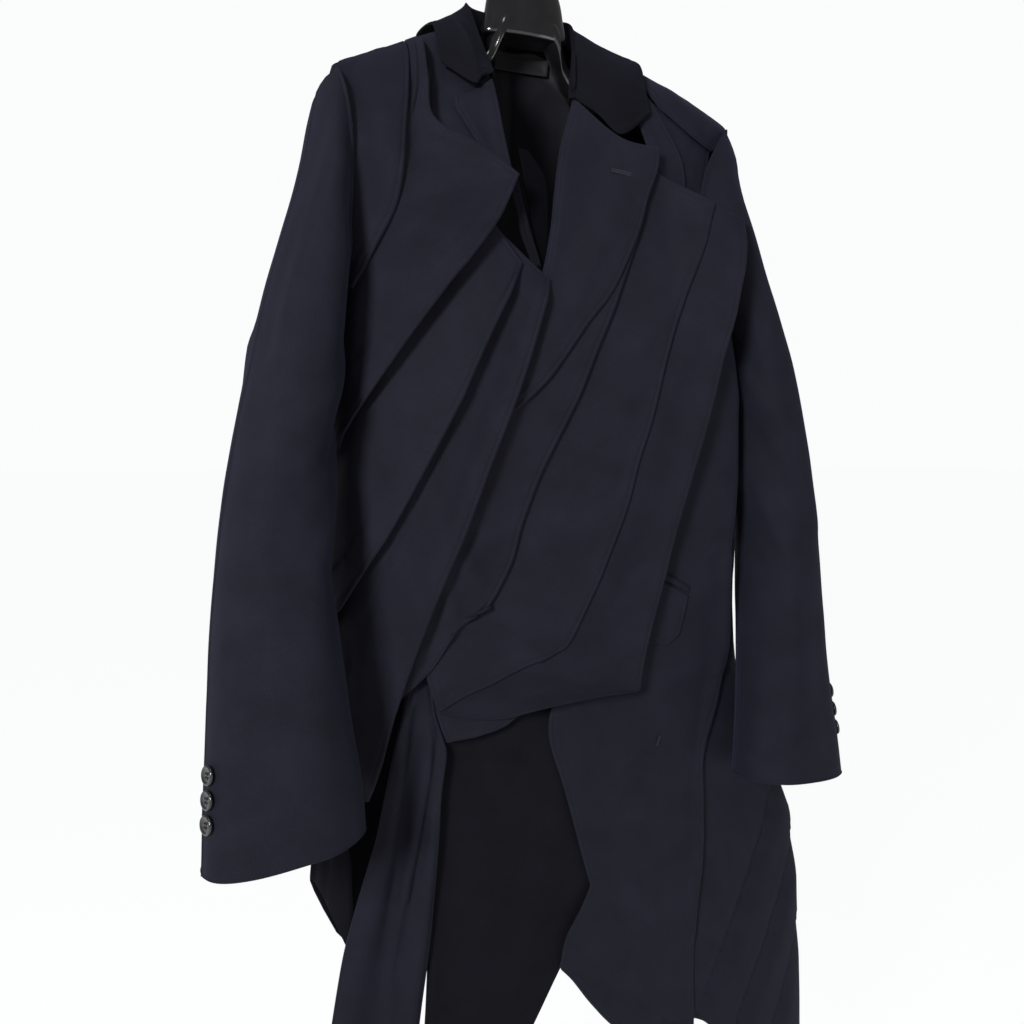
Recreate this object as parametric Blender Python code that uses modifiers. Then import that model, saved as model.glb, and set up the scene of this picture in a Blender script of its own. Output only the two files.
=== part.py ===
"""A long layered wool jacket hanging on a moulded hanger.

Frame: metres, +Z up, +X to the wearer's left, the front faces -Y. The origin is
the underside of the hook's crown, where the hanger hangs. All tables are in
millimetres.

The body is one hollow form: a flattened tube whose sections are given in FORM.
Every panel is a sheet laid on that form at its own level, so that the layers
lie over each other like shingles with air between them.
"""

import math

import bmesh
import bpy
from mathutils import Vector

MM = 0.001
CLOTH = 0.0016          # wall of one layer of cloth
SEAM = 0.0003           # gap left at every seam
LEVEL = 3.6             # from one layer to the next at the front
LEVEL_SIDE = 2.6        # the same at the wearer's right side, where they are sewn in
SIDE_STEP = 2.3         # the same round the side, outwards
BEND = 150.0            # past this, a table's x runs round the side of the form
STACK = 24.0            # the form gives way this much under the right front's stack
SHOULDER_ROUND = 90.0   # height in which the front rounds over the shoulder
BACK_ROUND = 30.0       # the same at the back

NECK_HALF = 65.0        # the neck opening's half width on the shoulder line
NECK_Z = -148.0         # the shoulder line's height at the neck
SHOULDER_DROP = (65.0, 68.0)   # from there to the shoulder point, right and left
SHOULDER_RUN = 125.0

# One row for each section of the body.
# z, half width right, half width left, depth front, depth back, forward sweep
# at the sides, squareness right, squareness left
FORM = (
    (-100, 190, 178, 44, 42, 52, 6.0, 6.0),
    (-210, 190, 178, 52, 46, 52, 6.0, 6.0),
    (-260, 188, 175, 62, 47, 50, 6.0, 6.0),
    (-320, 184, 171, 74, 47, 46, 6.0, 6.0),
    (-380, 180, 171, 80, 46, 40, 6.0, 6.0),
    (-450, 180, 185, 80, 45, 33, 6.0, 6.2),
    (-560, 183, 196, 74, 43, 24, 6.0, 6.0),
    (-640, 186, 204, 69, 42, 17, 5.5, 4.8),
    (-700, 188, 216, 66, 41, 13, 5.0, 3.0),
    (-780, 199, 251, 62, 40, 13, 4.5, 2.4),
    (-850, 209, 276, 60, 39, 15, 4.0, 2.4),
    (-920, 215, 285, 58, 39, 15, 3.7, 2.4),
    (-1000, 220, 291, 57, 38, 14, 3.5, 2.4),
    (-1130, 222, 298, 56, 38, 12, 3.5, 2.4),
)

# Soft hollows of the whole front: from (x, z) to (x, z), half width, depth
HOLLOWS = (
    (-118, -190, -122, -272, 17, 9),
    (150, -240, 122, -290, 42, 15),
)

# One table for each front panel: a row for each section across it, from the top
# down. left x, left z, right x, right z, corner ("l" or "r" where that side has
# a sharp corner)
PANELS = {
    "side_front_right": {"level": 11.2, "across": 4, "down": 1, "rows": (
        (-186, -211, -120, -174, ""),
        (-187, -222, -125, -200, ""),
        (-186, -236, -131, -228, ""),
        (-184, -256, -137, -257, ""),
        (-185, -288, -141, -286, ""),
        (-189, -322, -150, -323, ""),
        (-192, -352, -170, -360, ""),
        (-190, -372, -184, -378, ""),
    )},
    "layer_right_1": {"level": 9.7, "across": 6, "down": 1, "rows": (
        (-119, -173, -108, -167, ""),
        (-124, -199, -111, -194, ""),
        (-131, -226, -113, -221, ""),
        (-145, -259, -115, -246, ""),
        (-148, -280, -106, -260, "r"),
        (-152, -301, -81, -273, ""),
        (-157, -320, -55, -291, "r"),
        (-169, -342, -74, -325, ""),
        (-186, -362, -107, -368, ""),
        (-204, -390, -138, -413, ""),
        (-206, -436, -172, -466, ""),
        (-206, -486, -198, -506, ""),
    )},
    "yoke_right": {"level": 7, "across": 4, "down": 2, "rows": (
        (-107, -168, -80, -155, ""),
        (-111, -205, -72, -200, ""),
        (-118, -239, -66, -230, ""),
        (-117, -265, -60, -257, ""),
        (-106, -283, -56, -278, ""),
    )},
    "layer_right_2": {"level": 8.15, "across": 6, "down": 1, "rows": (
        (-84, -312, -49, -354, ""),
        (-102, -334, -62, -377, ""),
        (-119, -357, -75, -402, ""),
        (-135, -380, -89, -431, ""),
        (-151, -405, -103, -462, ""),
        (-172, -434, -122, -504, ""),
        (-196, -466, -140, -542, ""),
        (-206, -510, -163, -585, ""),
        (-206, -565, -186, -625, ""),
        (-206, -620, -198, -648, ""),
    )},
    "layer_right_3": {"level": 6.9, "across": 6, "down": 1, "rows": (
        (-66, -330, -24, -364, ""),
        (-75, -371, -31, -385, ""),
        (-89, -398, -44, -427, ""),
        (-104, -429, -60, -471, ""),
        (-118, -459, -75, -510, ""),
        (-134, -500, -91, -555, ""),
        (-153, -538, -108, -599, ""),
        (-181, -582, -127, -657, ""),
        (-203, -626, -142, -709, ""),
        (-200, -680, -150, -740, ""),
        (-188, -728, -155, -761, ""),
        (-177, -773, -158, -773, ""),
    )},
    "layer_centre": {"level": 5.25, "across": 5, "down": 1, "rows": (
        (5, -281, 70, -288, ""),
        (-12, -331, 54, -331, ""),
        (-25, -371, 37, -374, ""),
        (-39, -411, 20, -416, ""),
        (-54, -446, 3, -456, ""),
        (-70, -481, -13, -487, ""),
        (-87, -519, -28, -518, ""),
        (-103, -562, -41, -555, ""),
        (-115, -604, -48, -583, ""),
        (-126, -638, -57, -603, ""),
        (-133, -662, -67, -618, ""),
        (-139, -682, -88, -631, ""),
        (-141, -698, -113, -670, ""),
    )},
    "layer_left_inner": {"level": 4, "spread": 225, "across": 5, "down": 1, "rows": (
        (68, -256, 128, -291, ""),
        (55, -305, 117, -318, ""),
        (40, -344, 103, -353, ""),
        (24, -382, 94, -381, ""),
        (5, -424, 82, -424, ""),
        (-14, -464, 71, -471, ""),
        (-28, -496, 60, -507, ""),
        (-40, -528, 51, -543, ""),
        (-53, -560, 34, -588, ""),
        (-63, -583, 17, -629, ""),
        (-75, -607, 3, -656, ""),
        (-92, -622, -9, -664, "r"),
        (-110, -645, -40, -675, ""),
        (-118, -670, -64, -686, "l"),
        (-113, -686, -85, -694, ""),
        (-107, -703, -103, -704, ""),
    )},
    "layer_left_outer": {"level": 3, "spread": 225, "across": 5, "down": 1, "rows": (
        (118, -284, 150, -303, ""),
        (104, -319, 144, -335, ""),
        (89, -356, 138, -364, ""),
        (78, -397, 134, -404, ""),
        (61, -455, 121, -471, ""),
        (43, -513, 108, -523, ""),
        (22, -570, 95, -574, ""),
        (-5, -627, 81, -633, ""),
        (-30, -655, 73, -670, ""),
        (-58, -673, 69, -701, "r"),
        (-82, -685, 26, -702, ""),
        (-98, -694, -22, -708, ""),
        (-107, -702, -50, -715, ""),
        (-105, -707, -81, -714, ""),
    )},
    "crescent": {"level": 2, "across": 4, "down": 2, "rows": (
        (-107, -694, -44, -697, ""),
        (-105, -707, -40, -706, ""),
        (-101, -720, -35, -714, "r"),
        (-98, -728, -49, -724, ""),
        (-96, -733, -72, -730, ""),
    )},
    "skirt_centre": {"level": -1, "across": 5, "down": 1, "rows": (
        (-112, -688, 33, -690, ""),
        (-109, -749, 49, -765, ""),
        (-105, -826, 58, -848, ""),
        (-106, -895, 36, -903, ""),
        (-108, -956, 10, -948, ""),
        (-111, -1008, -16, -997, ""),
        (-113, -1050, -38, -1043, ""),
        (-114, -1082, -62, -1084, ""),
    )},
    "skirt_left": {"level": 1, "across": 6, "down": 1, "rows": (
        (117, -330, 122, -330, ""),
        (117, -352, 128, -352, ""),
        (117, -378, 146, -380, ""),
        (118, -404, 176, -398, ""),
        (112, -454, 177, -455, ""),
        (99, -522, 175, -530, ""),
        (82, -590, 166, -595, ""),
        (60, -645, 171, -675, "l"),
        (-3, -696, 163, -715, "l"),
        (-8, -734, 151, -768, ""),
        (7, -782, 150, -814, ""),
        (25, -842, 150, -868, ""),
        (35, -874, 146, -907, "l"),
        (26, -892, 144, -940, ""),
        (12, -916, 144, -979, ""),
        (6, -943, 145, -1016, "l"),
        (18, -956, 145, -1031, ""),
        (37, -982, 145, -1041, ""),
        (62, -1010, 145, -1050, ""),
        (96, -1034, 141, -1056, ""),
    )},
    "yoke_left": {"level": 1.6, "across": 2, "down": 2, "rows": (
        (88, -157, 88, -190, ""),
        (98, -163, 97, -205, ""),
        (109, -169, 106, -212, ""),
        (126, -179, 123, -223, ""),
        (145, -190, 136, -229, ""),
        (168, -200, 145, -233, ""),
        (191, -208, 152, -236, ""),
    )},
    "front_left_upper": {"level": 1, "across": 4, "down": 2, "rows": (
        (86, -197, 156, -229, ""),
        (92, -221, 151, -242, ""),
        (102, -246, 143, -262, ""),
        (115, -270, 139, -285, ""),
        (122, -295, 135, -311, ""),
    )},
    "layer_left_top": {"level": 2.6, "across": 3, "down": 2, "rows": (
        (60, -156, 85, -157, ""),
        (64, -188, 86, -189, ""),
        (66, -207, 92, -204, ""),
        (74, -229, 101, -225, ""),
        (80, -250, 112, -247, ""),
        (84, -264, 116, -262, ""),
        (90, -279, 117, -277, ""),
    )},
    "pocket_welt": {"level": 1.6, "across": 3, "down": 1, "rows": (
        (88, -597, 122, -615, ""),
        (87, -603, 121, -621, ""),
    )},
    "pocket_flap": {"level": 1.6, "across": 3, "down": 2, "rows": (
        (87, -605, 121, -623, ""),
        (84, -632, 119, -638, ""),
        (81, -655, 115, -658, "r"),
        (80, -662, 104, -666, ""),
    )},
    "facing_right": {"level": 6, "across": 2, "down": 1, "rows": (
        (-60, -279, -46, -284, ""),
        (-53, -303, -44, -301, ""),
        (-48, -327, -39, -324, ""),
        (-41, -345, -32, -346, ""),
        (-38, -355, -30, -353, ""),
    )},
    "facing_left": {"level": 4, "across": 2, "down": 1, "rows": (
        (-39, -258, -31, -259, ""),
        (-37, -284, -18, -282, ""),
        (-33, -320, -19, -316, ""),
        (-28, -352, -22, -351, ""),
    )},
    "drape_fold": {"level": 1.2, "across": 10, "down": 1, "rows": (
        (-125, -672, -107, -665, ""),
        (-131, -704, -104, -706, ""),
        (-137, -734, -96, -737, ""),
        (-144, -773, -100, -776, ""),
        (-153, -818, -101, -822, ""),
        (-164, -863, -103, -869, ""),
        (-174, -905, -107, -916, ""),
        (-183, -959, -114, -970, ""),
        (-193, -1014, -121, -1028, ""),
        (-200, -1062, -126, -1078, ""),
    )},
}

# The lapels are turned-out cloth: left, middle and right of each section.
LAPELS = {
    "lapel_left": {"level": 6, "across": 4, "down": 1, "roll": "left", "rows": (
        (9, -213, 48, -241, 83, -247, ""),
        (1, -234, 41, -257, 80, -266, ""),
        (-8, -260, 31, -278, 68, -292, ""),
        (-16, -296, 20, -309, 57, -319, ""),
        (-22, -328, 7, -343, 33, -366, ""),
        (-28, -354, -9, -375, 10, -395, ""),
        (-40, -388, -20, -401, -3, -413, ""),
        (-52, -419, -36, -428, -21, -437, ""),
        (-62, -446, -51, -450, -39, -455, ""),
        (-66, -463, -61, -466, -56, -469, ""),
    )},
    "lapel_right": {"level": 8, "across": 4, "down": 2, "roll": "right", "rows": (
        (-96, -228, -80, -221, -62, -208, ""),
        (-95, -238, -78, -233, -60, -224, ""),
        (-84, -257, -72, -255, -57, -250, ""),
        (-72, -277, -64, -276, -54, -271, ""),
        (-58, -292, -55, -292, -52, -291, ""),
    )},
}

# The drape's hanging folds: place across (0 to 1) at its top and bottom, half
# width in mm, height
DRAPE_FOLDS = (
    (0.10, 0.24, 13, 8),
    (0.62, 0.52, 9, 6),
    (0.95, 0.80, 8, 5),
)

LIFT = 15.0               # the outer left layer's top corner, forward over the sleeve

# Back half panels: z, x of the side edge on the right, and on the left
BACK_SIDE = (
    (-214, -182, 167),
    (-290, -175, 161),
    (-370, -170, 161),
    (-389, -152, 148),
    (-450, -148, 145),
    (-560, -148, 148),
    (-700, -148, 165),
    (-850, -156, 200),
    (-1000, -160, 212),
    (-1130, -164, 218),
)
BACK_NECK_RISE = 26.0     # the back's neck stands this much over the shoulder line
BACK_NECK_SCOOP = 13.4    # and its edge is cut this much below that
ARMPIT = -389.0
BACK_UPPER, BACK_LOWER = 6, 11     # cross lines above and below the armpit
# The back's slanted hem: x, z
BACK_HEM = ((-196, -852), (-172, -905), (-140, -945), (-80, -972), (0, -984),
            (80, -996), (160, -1030), (215, -1075), (290, -1090))

# Side panels: z, x of the front edge along the cloth, level
SIDE_RIGHT = (
    (-389, -200, 6.0),
    (-700, -200, 6.0),
    (-760, -188, 1.6),
    (-830, -168, -1.8),
    (-960, -160, -1.8),
)
SIDE_LEFT = (
    (-389, 162, -0.4),
    (-600, 156, -0.15),
    (-680, 146, -0.15),
    (-800, 134, -0.15),
    (-1130, 126, -0.15),
)
# Knife pleats of the left side: x and z at the top, x and z at the bottom, depth
PLEATS = (
    (241, -825, 117, -1100, 4.0),
    (268, -884, 172, -1100, 4.0),
    (284, -960, 226, -1100, 3.5),
)

# Sleeves: one row for each ring. outer x, outer z, inner x, inner z, centre y,
# half depth. The right one; the left one has its own.
SLEEVE_RIGHT = (
    (-186, -214, -185, -384, -52, 40),
    (-192, -225, -186, -389, -54, 45),
    (-198, -247, -186, -394, -56, 50),
    (-204, -276, -187, -399, -58, 53),
    (-213, -310, -187, -405, -59, 55),
    (-224, -345, -187, -413, -60, 56),
    (-235, -384, -188, -425, -60, 57),
    (-245, -426, -189, -443, -61, 56),
    (-257, -474, -192, -478, -64, 53),
    (-270, -540, -197, -541, -71, 49),
    (-280, -612, -195, -611, -79, 45),
    (-287, -690, -188, -686, -88, 40),
    (-291, -746, -182, -736, -95, 37),
    (-293, -789, -180, -772, -98, 36),
)
SLEEVE_LEFT = (
    (177, -209, 174, -383, -48, 36),
    (178, -226, 175, -389, -50, 40),
    (179, -252, 176, -395, -53, 43),
    (184, -288, 177, -401, -55, 45),
    (193, -327, 178, -409, -56, 45),
    (206, -368, 180, -421, -57, 44),
    (222, -410, 183, -439, -57, 43),
    (235, -454, 187, -466, -58, 42),
    (247, -508, 194, -513, -60, 42),
    (257, -575, 199, -574, -65, 41),
    (262, -640, 195, -638, -71, 40),
    (263, -700, 187, -697, -80, 38),
    (266, -748, 177, -744, -90, 36),
    (271, -790, 170, -787, -95, 35),
)
# The shoulder seam, where the back's top edge meets the yokes: x, y
SHOULDER_SEAM = (
    (-182, -40.0),
    (-160, -35.0),
    (-140, -31.5),
    (-120, -14.6),
    (-100, -14.3),
    (-80, -15.0),
    (-62, -4.0),
    (62, 2.0),
    (90, -9.2),
    (110, -20.6),
    (130, -30.3),
    (150, -34.1),
    (170, -38.4),
)
# How far the armhole's edge comes in over the body at the front and at the back
SADDLES = {"right": (5, 11), "left": (45, 15)}
SLEEVE_BACK_SEAM = 92.0    # degrees round the sleeve, 90 is its outer edge
SLEEVE_FRONT_SEAM = 285.0

# Cuff buttons
BUTTON_DIAMETER = 14.0
BUTTON_THICK = 3.0
BUTTON_PITCH = 16.5
BUTTON_ANGLE = 108.0
BUTTONS_FROM_HEM = 39.0
SHANK = 2.0

# Collar: outer edge, middle of the fall, fold line, stand's foot; x, y, z each.
# From the right front end round the back of the neck to the left front end.
COLLAR = (
    ((-103, -67, -201), (-82, -82, -217), (-62, -73, -203), (-56, -64, -207)),
    ((-103, -61, -186), (-79, -65, -186), (-57, -47, -181), (-52, -40, -190)),
    ((-95, -26, -155), (-74, -25, -149), (-51, -21, -157), (-51, -14, -162)),
    ((-98, 4, -155), (-73, 5, -136), (-49, 3, -127), (-46, 1, -146)),
    ((-84, 32, -158), (-62, 31, -133), (-45, 22, -113), (-40, 17, -137)),
    ((-50, 53, -161), (-40, 49, -133), (-30, 38, -110), (-26, 31, -131)),
    ((0, 58, -162), (0, 55, -134), (0, 44, -109), (0, 37, -132)),
    ((50, 53, -161), (40, 49, -133), (30, 38, -110), (26, 31, -131)),
    ((84, 31, -158), (62, 31, -133), (46, 22, -113), (40, 17, -137)),
    ((95, -4, -151), (71, 2, -136), (49, 4, -123), (46, 1, -146)),
    ((91, -42, -164), (66, -36, -157), (37, -21, -149), (38, -14, -162)),
    ((83, -64, -190), (52, -68, -189), (23, -48, -180), (22, -40, -190)),
    ((84, -72, -214), (49, -84, -239), (9, -73, -211), (8, -65, -212)),
)
FOLD_HALF = 2.6            # half the collar's thickness at its fold

# Lining of the back neck and the bare label on it
LINING = {"half_top": 34, "half_bottom": 118, "under_edge": 8.0, "bottom": -400, "inset": 13.0}
LABEL = {"x": 10, "z": -148, "wide": 52, "high": 13, "thick": 0.8}

# Hanger: arm sections: x, centre y, centre z, half depth, half height
ARM = (
    (0, 0, -132, 13, 10),
    (18, -1, -135, 13, 11),
    (27, -2, -144, 13, 14),
    (34, 0, -160, 10, 15),
    (41, -1, -174, 10, 11.5),
    (60, -6, -185, 14, 10),
    (90, -13, -190, 14, 9.5),
    (120, -24, -200, 13, 9),
    (140, -30, -211, 12, 8.5),
    (152, -33, -219, 11, 7.5),
    (158, -34, -223, 8, 5),
)
# The flared neck: z, half width, half depth
NECK = (
    (-146, 42, 15),
    (-142, 41.5, 15.5),
    (-128, 37, 15),
    (-112, 34, 14),
    (-98, 29, 13),
    (-87, 24, 12),
    (-79, 18, 10),
    (-76, 12, 8),
)
HOOK_WIRE = 4.6
HOOK_INSIDE = 22.0         # radius inside the crown
HOOK_FROM = -90.0
HOOK_BEND = -58.0


def smooth(t):
    t = min(1.0, max(0.0, t))
    return t * t * (3 - 2 * t)


def table(rows, z, column):
    """A value of a table between its rows, by z."""
    if z >= rows[0][0]:
        return rows[0][column]
    for above, below in zip(rows, rows[1:]):
        if z >= below[0]:
            t = (above[0] - z) / (above[0] - below[0])
            return above[column] + (below[column] - above[column]) * t
    return rows[-1][column]


def ridge(x):
    """Height of the shoulder line."""
    run = max(0.0, abs(x) - NECK_HALF) / SHOULDER_RUN
    return NECK_Z - SHOULDER_DROP[x > 0] * run ** 1.15


def dome(s):
    s = min(1.0, max(0.0, s))
    return math.sqrt(max(0.0, 1 - (1 - s) ** 2))


def half_and_square(side, z):
    left = side > 0
    return table(FORM, z, 2 if left else 1), table(FORM, z, 7 if left else 6)


def middle(x, z):
    return -table(FORM, z, 5) * (x / 190.0) ** 2


def hollow(x, z, row):
    x0, z0, x1, z1, wide, deep = row
    dx, dz = x1 - x0, z1 - z0
    t = min(1.0, max(0.0, ((x - x0) * dx + (z - z0) * dz) / (dx * dx + dz * dz)))
    return deep * math.exp(-((x - x0 - t * dx) ** 2 + (z - z0 - t * dz) ** 2) / wide ** 2)


def side_run(side, z):
    """Length of cloth from BEND round to the side of the form, and the angle it turns."""
    half, square = half_and_square(side, z)
    start = math.asin(math.sqrt(1 - (BEND / half) ** square))
    return 1.05 * math.hypot(half - BEND, table(FORM, z, 3) * math.sin(start)), start


def lay(x, z, level, spread=0.0):
    """A point of the cloth: x across it, z its height, level the layers under it."""
    side = 1 if x > 0 else -1
    half, square = half_and_square(side, z)
    half = max(half, spread)
    run, start = side_run(side, z)
    past = abs(x) - BEND
    turned = 0.0
    ahead, aside = 1.0, 0.0
    if past <= 0 or spread:
        fall = math.sqrt(1 - min(0.9995, abs(x) / half) ** square)
    elif past <= run:
        angle = start * (1 - past / run)
        fall = math.sin(angle)
        x = side * half * math.cos(angle) ** (2 / square)
        ahead = min(1.0, 1.6 * fall / math.sin(start))
        aside = min(1.0, 1.6 * (1 - fall / math.sin(start)))
    else:
        turned = (past - run) / table(FORM, z, 4)
        fall = 0.0
        x = side * half * math.cos(turned) ** (2 / square)
        ahead, aside = 0.0, 1 - smooth(turned / 0.7)
    s = (ridge(x) - z) / SHOULDER_ROUND
    opened = min(1.0, max(0.0, s) / 0.5) ** 0.7
    pitch = LEVEL - (LEVEL - LEVEL_SIDE) * smooth((-x - 100) / 50.0)
    give = STACK * smooth((30 - x) / 190.0) * (1 - smooth(turned / 0.9))
    y = middle(x, z) - table(FORM, z, 3) * fall * dome(s)
    y += opened * (give - level * pitch * ahead + sum(hollow(x, z, h) for h in HOLLOWS))
    y += table(FORM, z, 4) * math.sin(turned)
    out = level if side > 0 else level - 7
    x += side * out * SIDE_STEP * aside * opened
    return Vector((x, y, z))


def back_ridge(x):
    return ridge(x) + BACK_NECK_RISE * (1 - smooth((abs(x) - 15) / 45.0))


def back_y(x, z, out=0.0):
    half, square = half_and_square(1 if x > 0 else -1, z)
    fall = math.sqrt(1 - min(0.9995, abs(x) / half) ** square)
    s = (back_ridge(x) - z) / BACK_ROUND
    return middle(x, z) + (table(FORM, z, 4) + out) * fall * dome(s)


def back_x_along(side, x, z):
    """The table x that lands on the back at this x."""
    half, square = half_and_square(side, z)
    turned = math.acos(min(1.0, abs(x) / half) ** (square / 2))
    return side * (BEND + side_run(side, z)[0] + turned * table(FORM, z, 4))


def spline(points, corners, t):
    """A smooth curve through points, with its tangents broken at the corners."""
    last = len(points) - 1
    i = min(last - 1, max(0, int(t)))
    t -= i

    def tangent(k, ahead):
        if k == 0:
            return points[1] - points[0]
        if k == last:
            return points[last] - points[last - 1]
        if k in corners:
            return points[k + 1] - points[k] if ahead else points[k] - points[k - 1]
        return (points[k + 1] - points[k - 1]) * 0.5

    p, q = points[i], points[i + 1]
    m, n = tangent(i, True), tangent(i + 1, False)
    t2, t3 = t * t, t * t * t
    return p * (2 * t3 - 3 * t2 + 1) + m * (t3 - 2 * t2 + t) + q * (3 * t2 - 2 * t3) + n * (t3 - t2)


def collection(name):
    made = bpy.data.collections.new(name)
    bpy.context.scene.collection.children.link(made)
    return made


def material(name, colour, roughness, metallic=0.0):
    made = bpy.data.materials.new(name)
    made.use_nodes = True
    shader = made.node_tree.nodes["Principled BSDF"]
    shader.inputs["Base Color"].default_value = (*colour, 1)
    shader.inputs["Roughness"].default_value = roughness
    shader.inputs["Metallic"].default_value = metallic
    return made


def object_from(name, bm, look):
    mesh = bpy.data.meshes.new(name)
    bm.to_mesh(mesh)
    bm.free()
    made = bpy.data.objects.new(name, mesh)
    JACKET.objects.link(made)
    mesh.materials.append(look)
    mesh.shade_smooth()
    return made


def sheet_grid(name, grid, look, thick=CLOTH, closed=False, flip=False):
    """A sheet from rows of points in mm, given its wall by Solidify, inwards."""
    bm = bmesh.new()
    rows = [[bm.verts.new(p * MM) for p in row] for row in grid]
    wide = len(grid[0])
    for above, below in zip(rows, rows[1:]):
        for j in range(wide if closed else wide - 1):
            k = (j + 1) % wide
            corners = (above[j], below[j], below[k], above[k])
            bm.faces.new(corners[::-1] if flip else corners)
    made = object_from(name, bm, look)
    wall = made.modifiers.new("wall", "SOLIDIFY")
    wall.thickness = thick
    wall.offset = -1
    wall.use_rim = True
    return made


def panel(name, spec, look, shape=None):
    """A front panel: a loft between the two sides that its table gives."""
    rows = spec["rows"]
    count = (len(rows[0]) - 1) // 2
    rails = [[Vector((row[2 * k], 0, row[2 * k + 1])) for row in rows] for k in range(count)]
    corners = [set(), set()]
    for i, row in enumerate(rows):
        if "l" in row[-1]:
            corners[0].add(i)
        if "r" in row[-1]:
            corners[1].add(i)
    sharp = [corners[0]] + [set()] * (count - 2) + [corners[1]]
    grid = []
    steps = (len(rows) - 1) * spec["down"]
    for i in range(steps + 1):
        t = i / spec["down"]
        ends = [spline(rail, sharp[k], t) for k, rail in enumerate(rails)]
        line = []
        for j in range(spec["across"] + 1):
            u = j / spec["across"]
            k = min(count - 2, int(u * (count - 1)))
            p = ends[k].lerp(ends[k + 1], u * (count - 1) - k)
            p = lay(p.x, p.z, spec["level"], spec.get("spread", 0.0))
            if shape:
                p.y += shape(p.x, p.z, u, t / (len(rows) - 1))
            line.append(p)
        grid.append(line)
    return sheet_grid(name, grid, look)


def drape_shape(x, z, u, v):
    total = 0.0
    for top, bottom, wide, high in DRAPE_FOLDS:
        place = top + (bottom - top) * smooth(v)
        span = 30 + 45 * v
        total -= high * smooth(v * 4) * math.exp(-((u - place) * span / wide) ** 2)
    return total + 5 * smooth(v * 4)


def lifted_shape(x, z, u, v):
    """The outer layers' top corners lie forward, over the sleeve."""
    return -LIFT * smooth((x - 84) / 40.0) * smooth((z + 425) / 80.0)


def lapel_shape(roll):
    def shape(x, z, u, v):
        near = u if roll == "left" else 1 - u
        return -2.5 * math.exp(-(near / 0.22) ** 2) * (1 - v)
    return shape


def back_top(x):
    """The back's top edge: the neck, and the shoulder line either side."""
    return back_ridge(x) - 0.6 - BACK_NECK_SCOOP * (1 - smooth(abs(x) / 60.0))


def back_height(x, level):
    """Height of one of the back's cross lines: some above the armpit, the rest below."""
    if level <= BACK_UPPER:
        top = back_top(x)
        return top + (ARMPIT - top) * (level / BACK_UPPER) ** 1.5
    return ARMPIT + (table_x(BACK_HEM, x) - ARMPIT) * (level - BACK_UPPER) / BACK_LOWER


def shoulder_edge(p):
    """Where the back's top edge comes forward over the shoulder to the yokes' seam."""
    reach = smooth((abs(p.x) - 62) / 14.0)
    forward = min(0.0, table_x(SHOULDER_SEAM, p.x) - p.y)
    return Vector((p.x, p.y + forward * reach, p.z + 0.15 + 0.35 * reach))


def back_panel(name, side, look):
    """Half of the back, from the centre seam to the side panel's seam."""
    columns = 6
    grid = []
    for i in range(BACK_UPPER + BACK_LOWER + 1):
        row = []
        for j in range(columns + 1):
            u = j / columns
            inner = side * ((SEAM / MM) / 2 + 0.4 * max(0.0, 1 - i / 3))
            z = -600.0
            for _ in range(12):
                x = inner + (table(BACK_SIDE, z, 1 if side < 0 else 2) - inner) * u
                z = back_height(x, i)
            row.append(Vector((x, back_y(x, z), z)))
        grid.append(row)
    grid.insert(0, [shoulder_edge(p) for p in grid[0]])
    return sheet_grid(name, grid, look, flip=side > 0)


def table_x(rows, x):
    if x <= rows[0][0]:
        return rows[0][1]
    for a, b in zip(rows, rows[1:]):
        if x <= b[0]:
            return a[1] + (b[1] - a[1]) * (x - a[0]) / (b[0] - a[0])
    return rows[-1][1]


def pleat_step(x, z):
    """Height of the knife pleats at a place on the left side's front."""
    height = 0.0
    for x0, z0, x1, z1, deep in PLEATS:
        slope = (x1 - x0) / (z1 - z0)
        line = x0 + (z - z0) * slope
        fade = smooth((-640 - z) / 200.0)
        past = (x - line) / 26.0
        height += deep * fade * (smooth((past + 0.12) / 0.12) - smooth(past))
    return height


def side_panel(name, rows, side, look, columns, pleated=False):
    """A side panel, from its front edge round the side to the back's seam."""
    grid = []
    for i in range(BACK_LOWER + 1):
        row = []
        for j in range(columns + 1):
            u = j / columns
            z = -600.0
            for _ in range(12):
                front = table(rows, z, 1)
                back = back_x_along(side, table(BACK_SIDE, z, 1 if side < 0 else 2), z)
                along = front + (back - side * 2 * SEAM / MM - front) * u
                z = back_height(lay(along, z, 0).x, i + BACK_UPPER)
            level = table(rows, z, 2)
            if pleated:
                level -= pleat_step(lay(along, z, 0).x, z) / LEVEL * smooth((1 - u) / 0.3)
            row.append(lay(along, z, level))
        grid.append(row)
    return sheet_grid(name, grid, look, flip=side < 0)


def sleeve_point(rows, t, degrees, saddles=(0, 0)):
    columns = [spline([Vector((row[2 * k], row[2 * k + 1], 0)) for row in rows], set(), t)
               for k in range(3)]
    outer = Vector((columns[0].x, 0, columns[0].y))
    inner = Vector((columns[1].x, 0, columns[1].y))
    y, deep = columns[2].x, columns[2].y
    centre = (outer + inner) / 2
    half = (outer - inner) / 2
    a = math.radians(degrees)
    c, s = math.cos(a), math.sin(a)
    power = 2 / 2.35
    c2 = math.copysign(abs(c) ** power, c)
    s2 = math.copysign(abs(s) ** power, s)
    p = centre + half * s2
    p.y = y + deep * c2
    saddle = saddles[0] if c < 0 else saddles[1]
    p.x -= math.copysign(saddle, p.x) * (c * c) * max(0.0, 1 - t / 7.0) ** 2
    return p


def sleeve(name, rows, start, stop, look, columns, saddles, down=1):
    """A strip of a sleeve, between two angles round it."""
    grid = []
    steps = (len(rows) - 1) * down
    spare = 0.35
    for i in range(steps + 1):
        row = []
        for j in range(columns + 1):
            a = start + spare + (stop - start - 2 * spare) * j / columns
            row.append(sleeve_point(rows, i / down, a, saddles))
        grid.append(row)
    return sheet_grid(name, grid, look, flip=rows[0][0] < 0)


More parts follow.
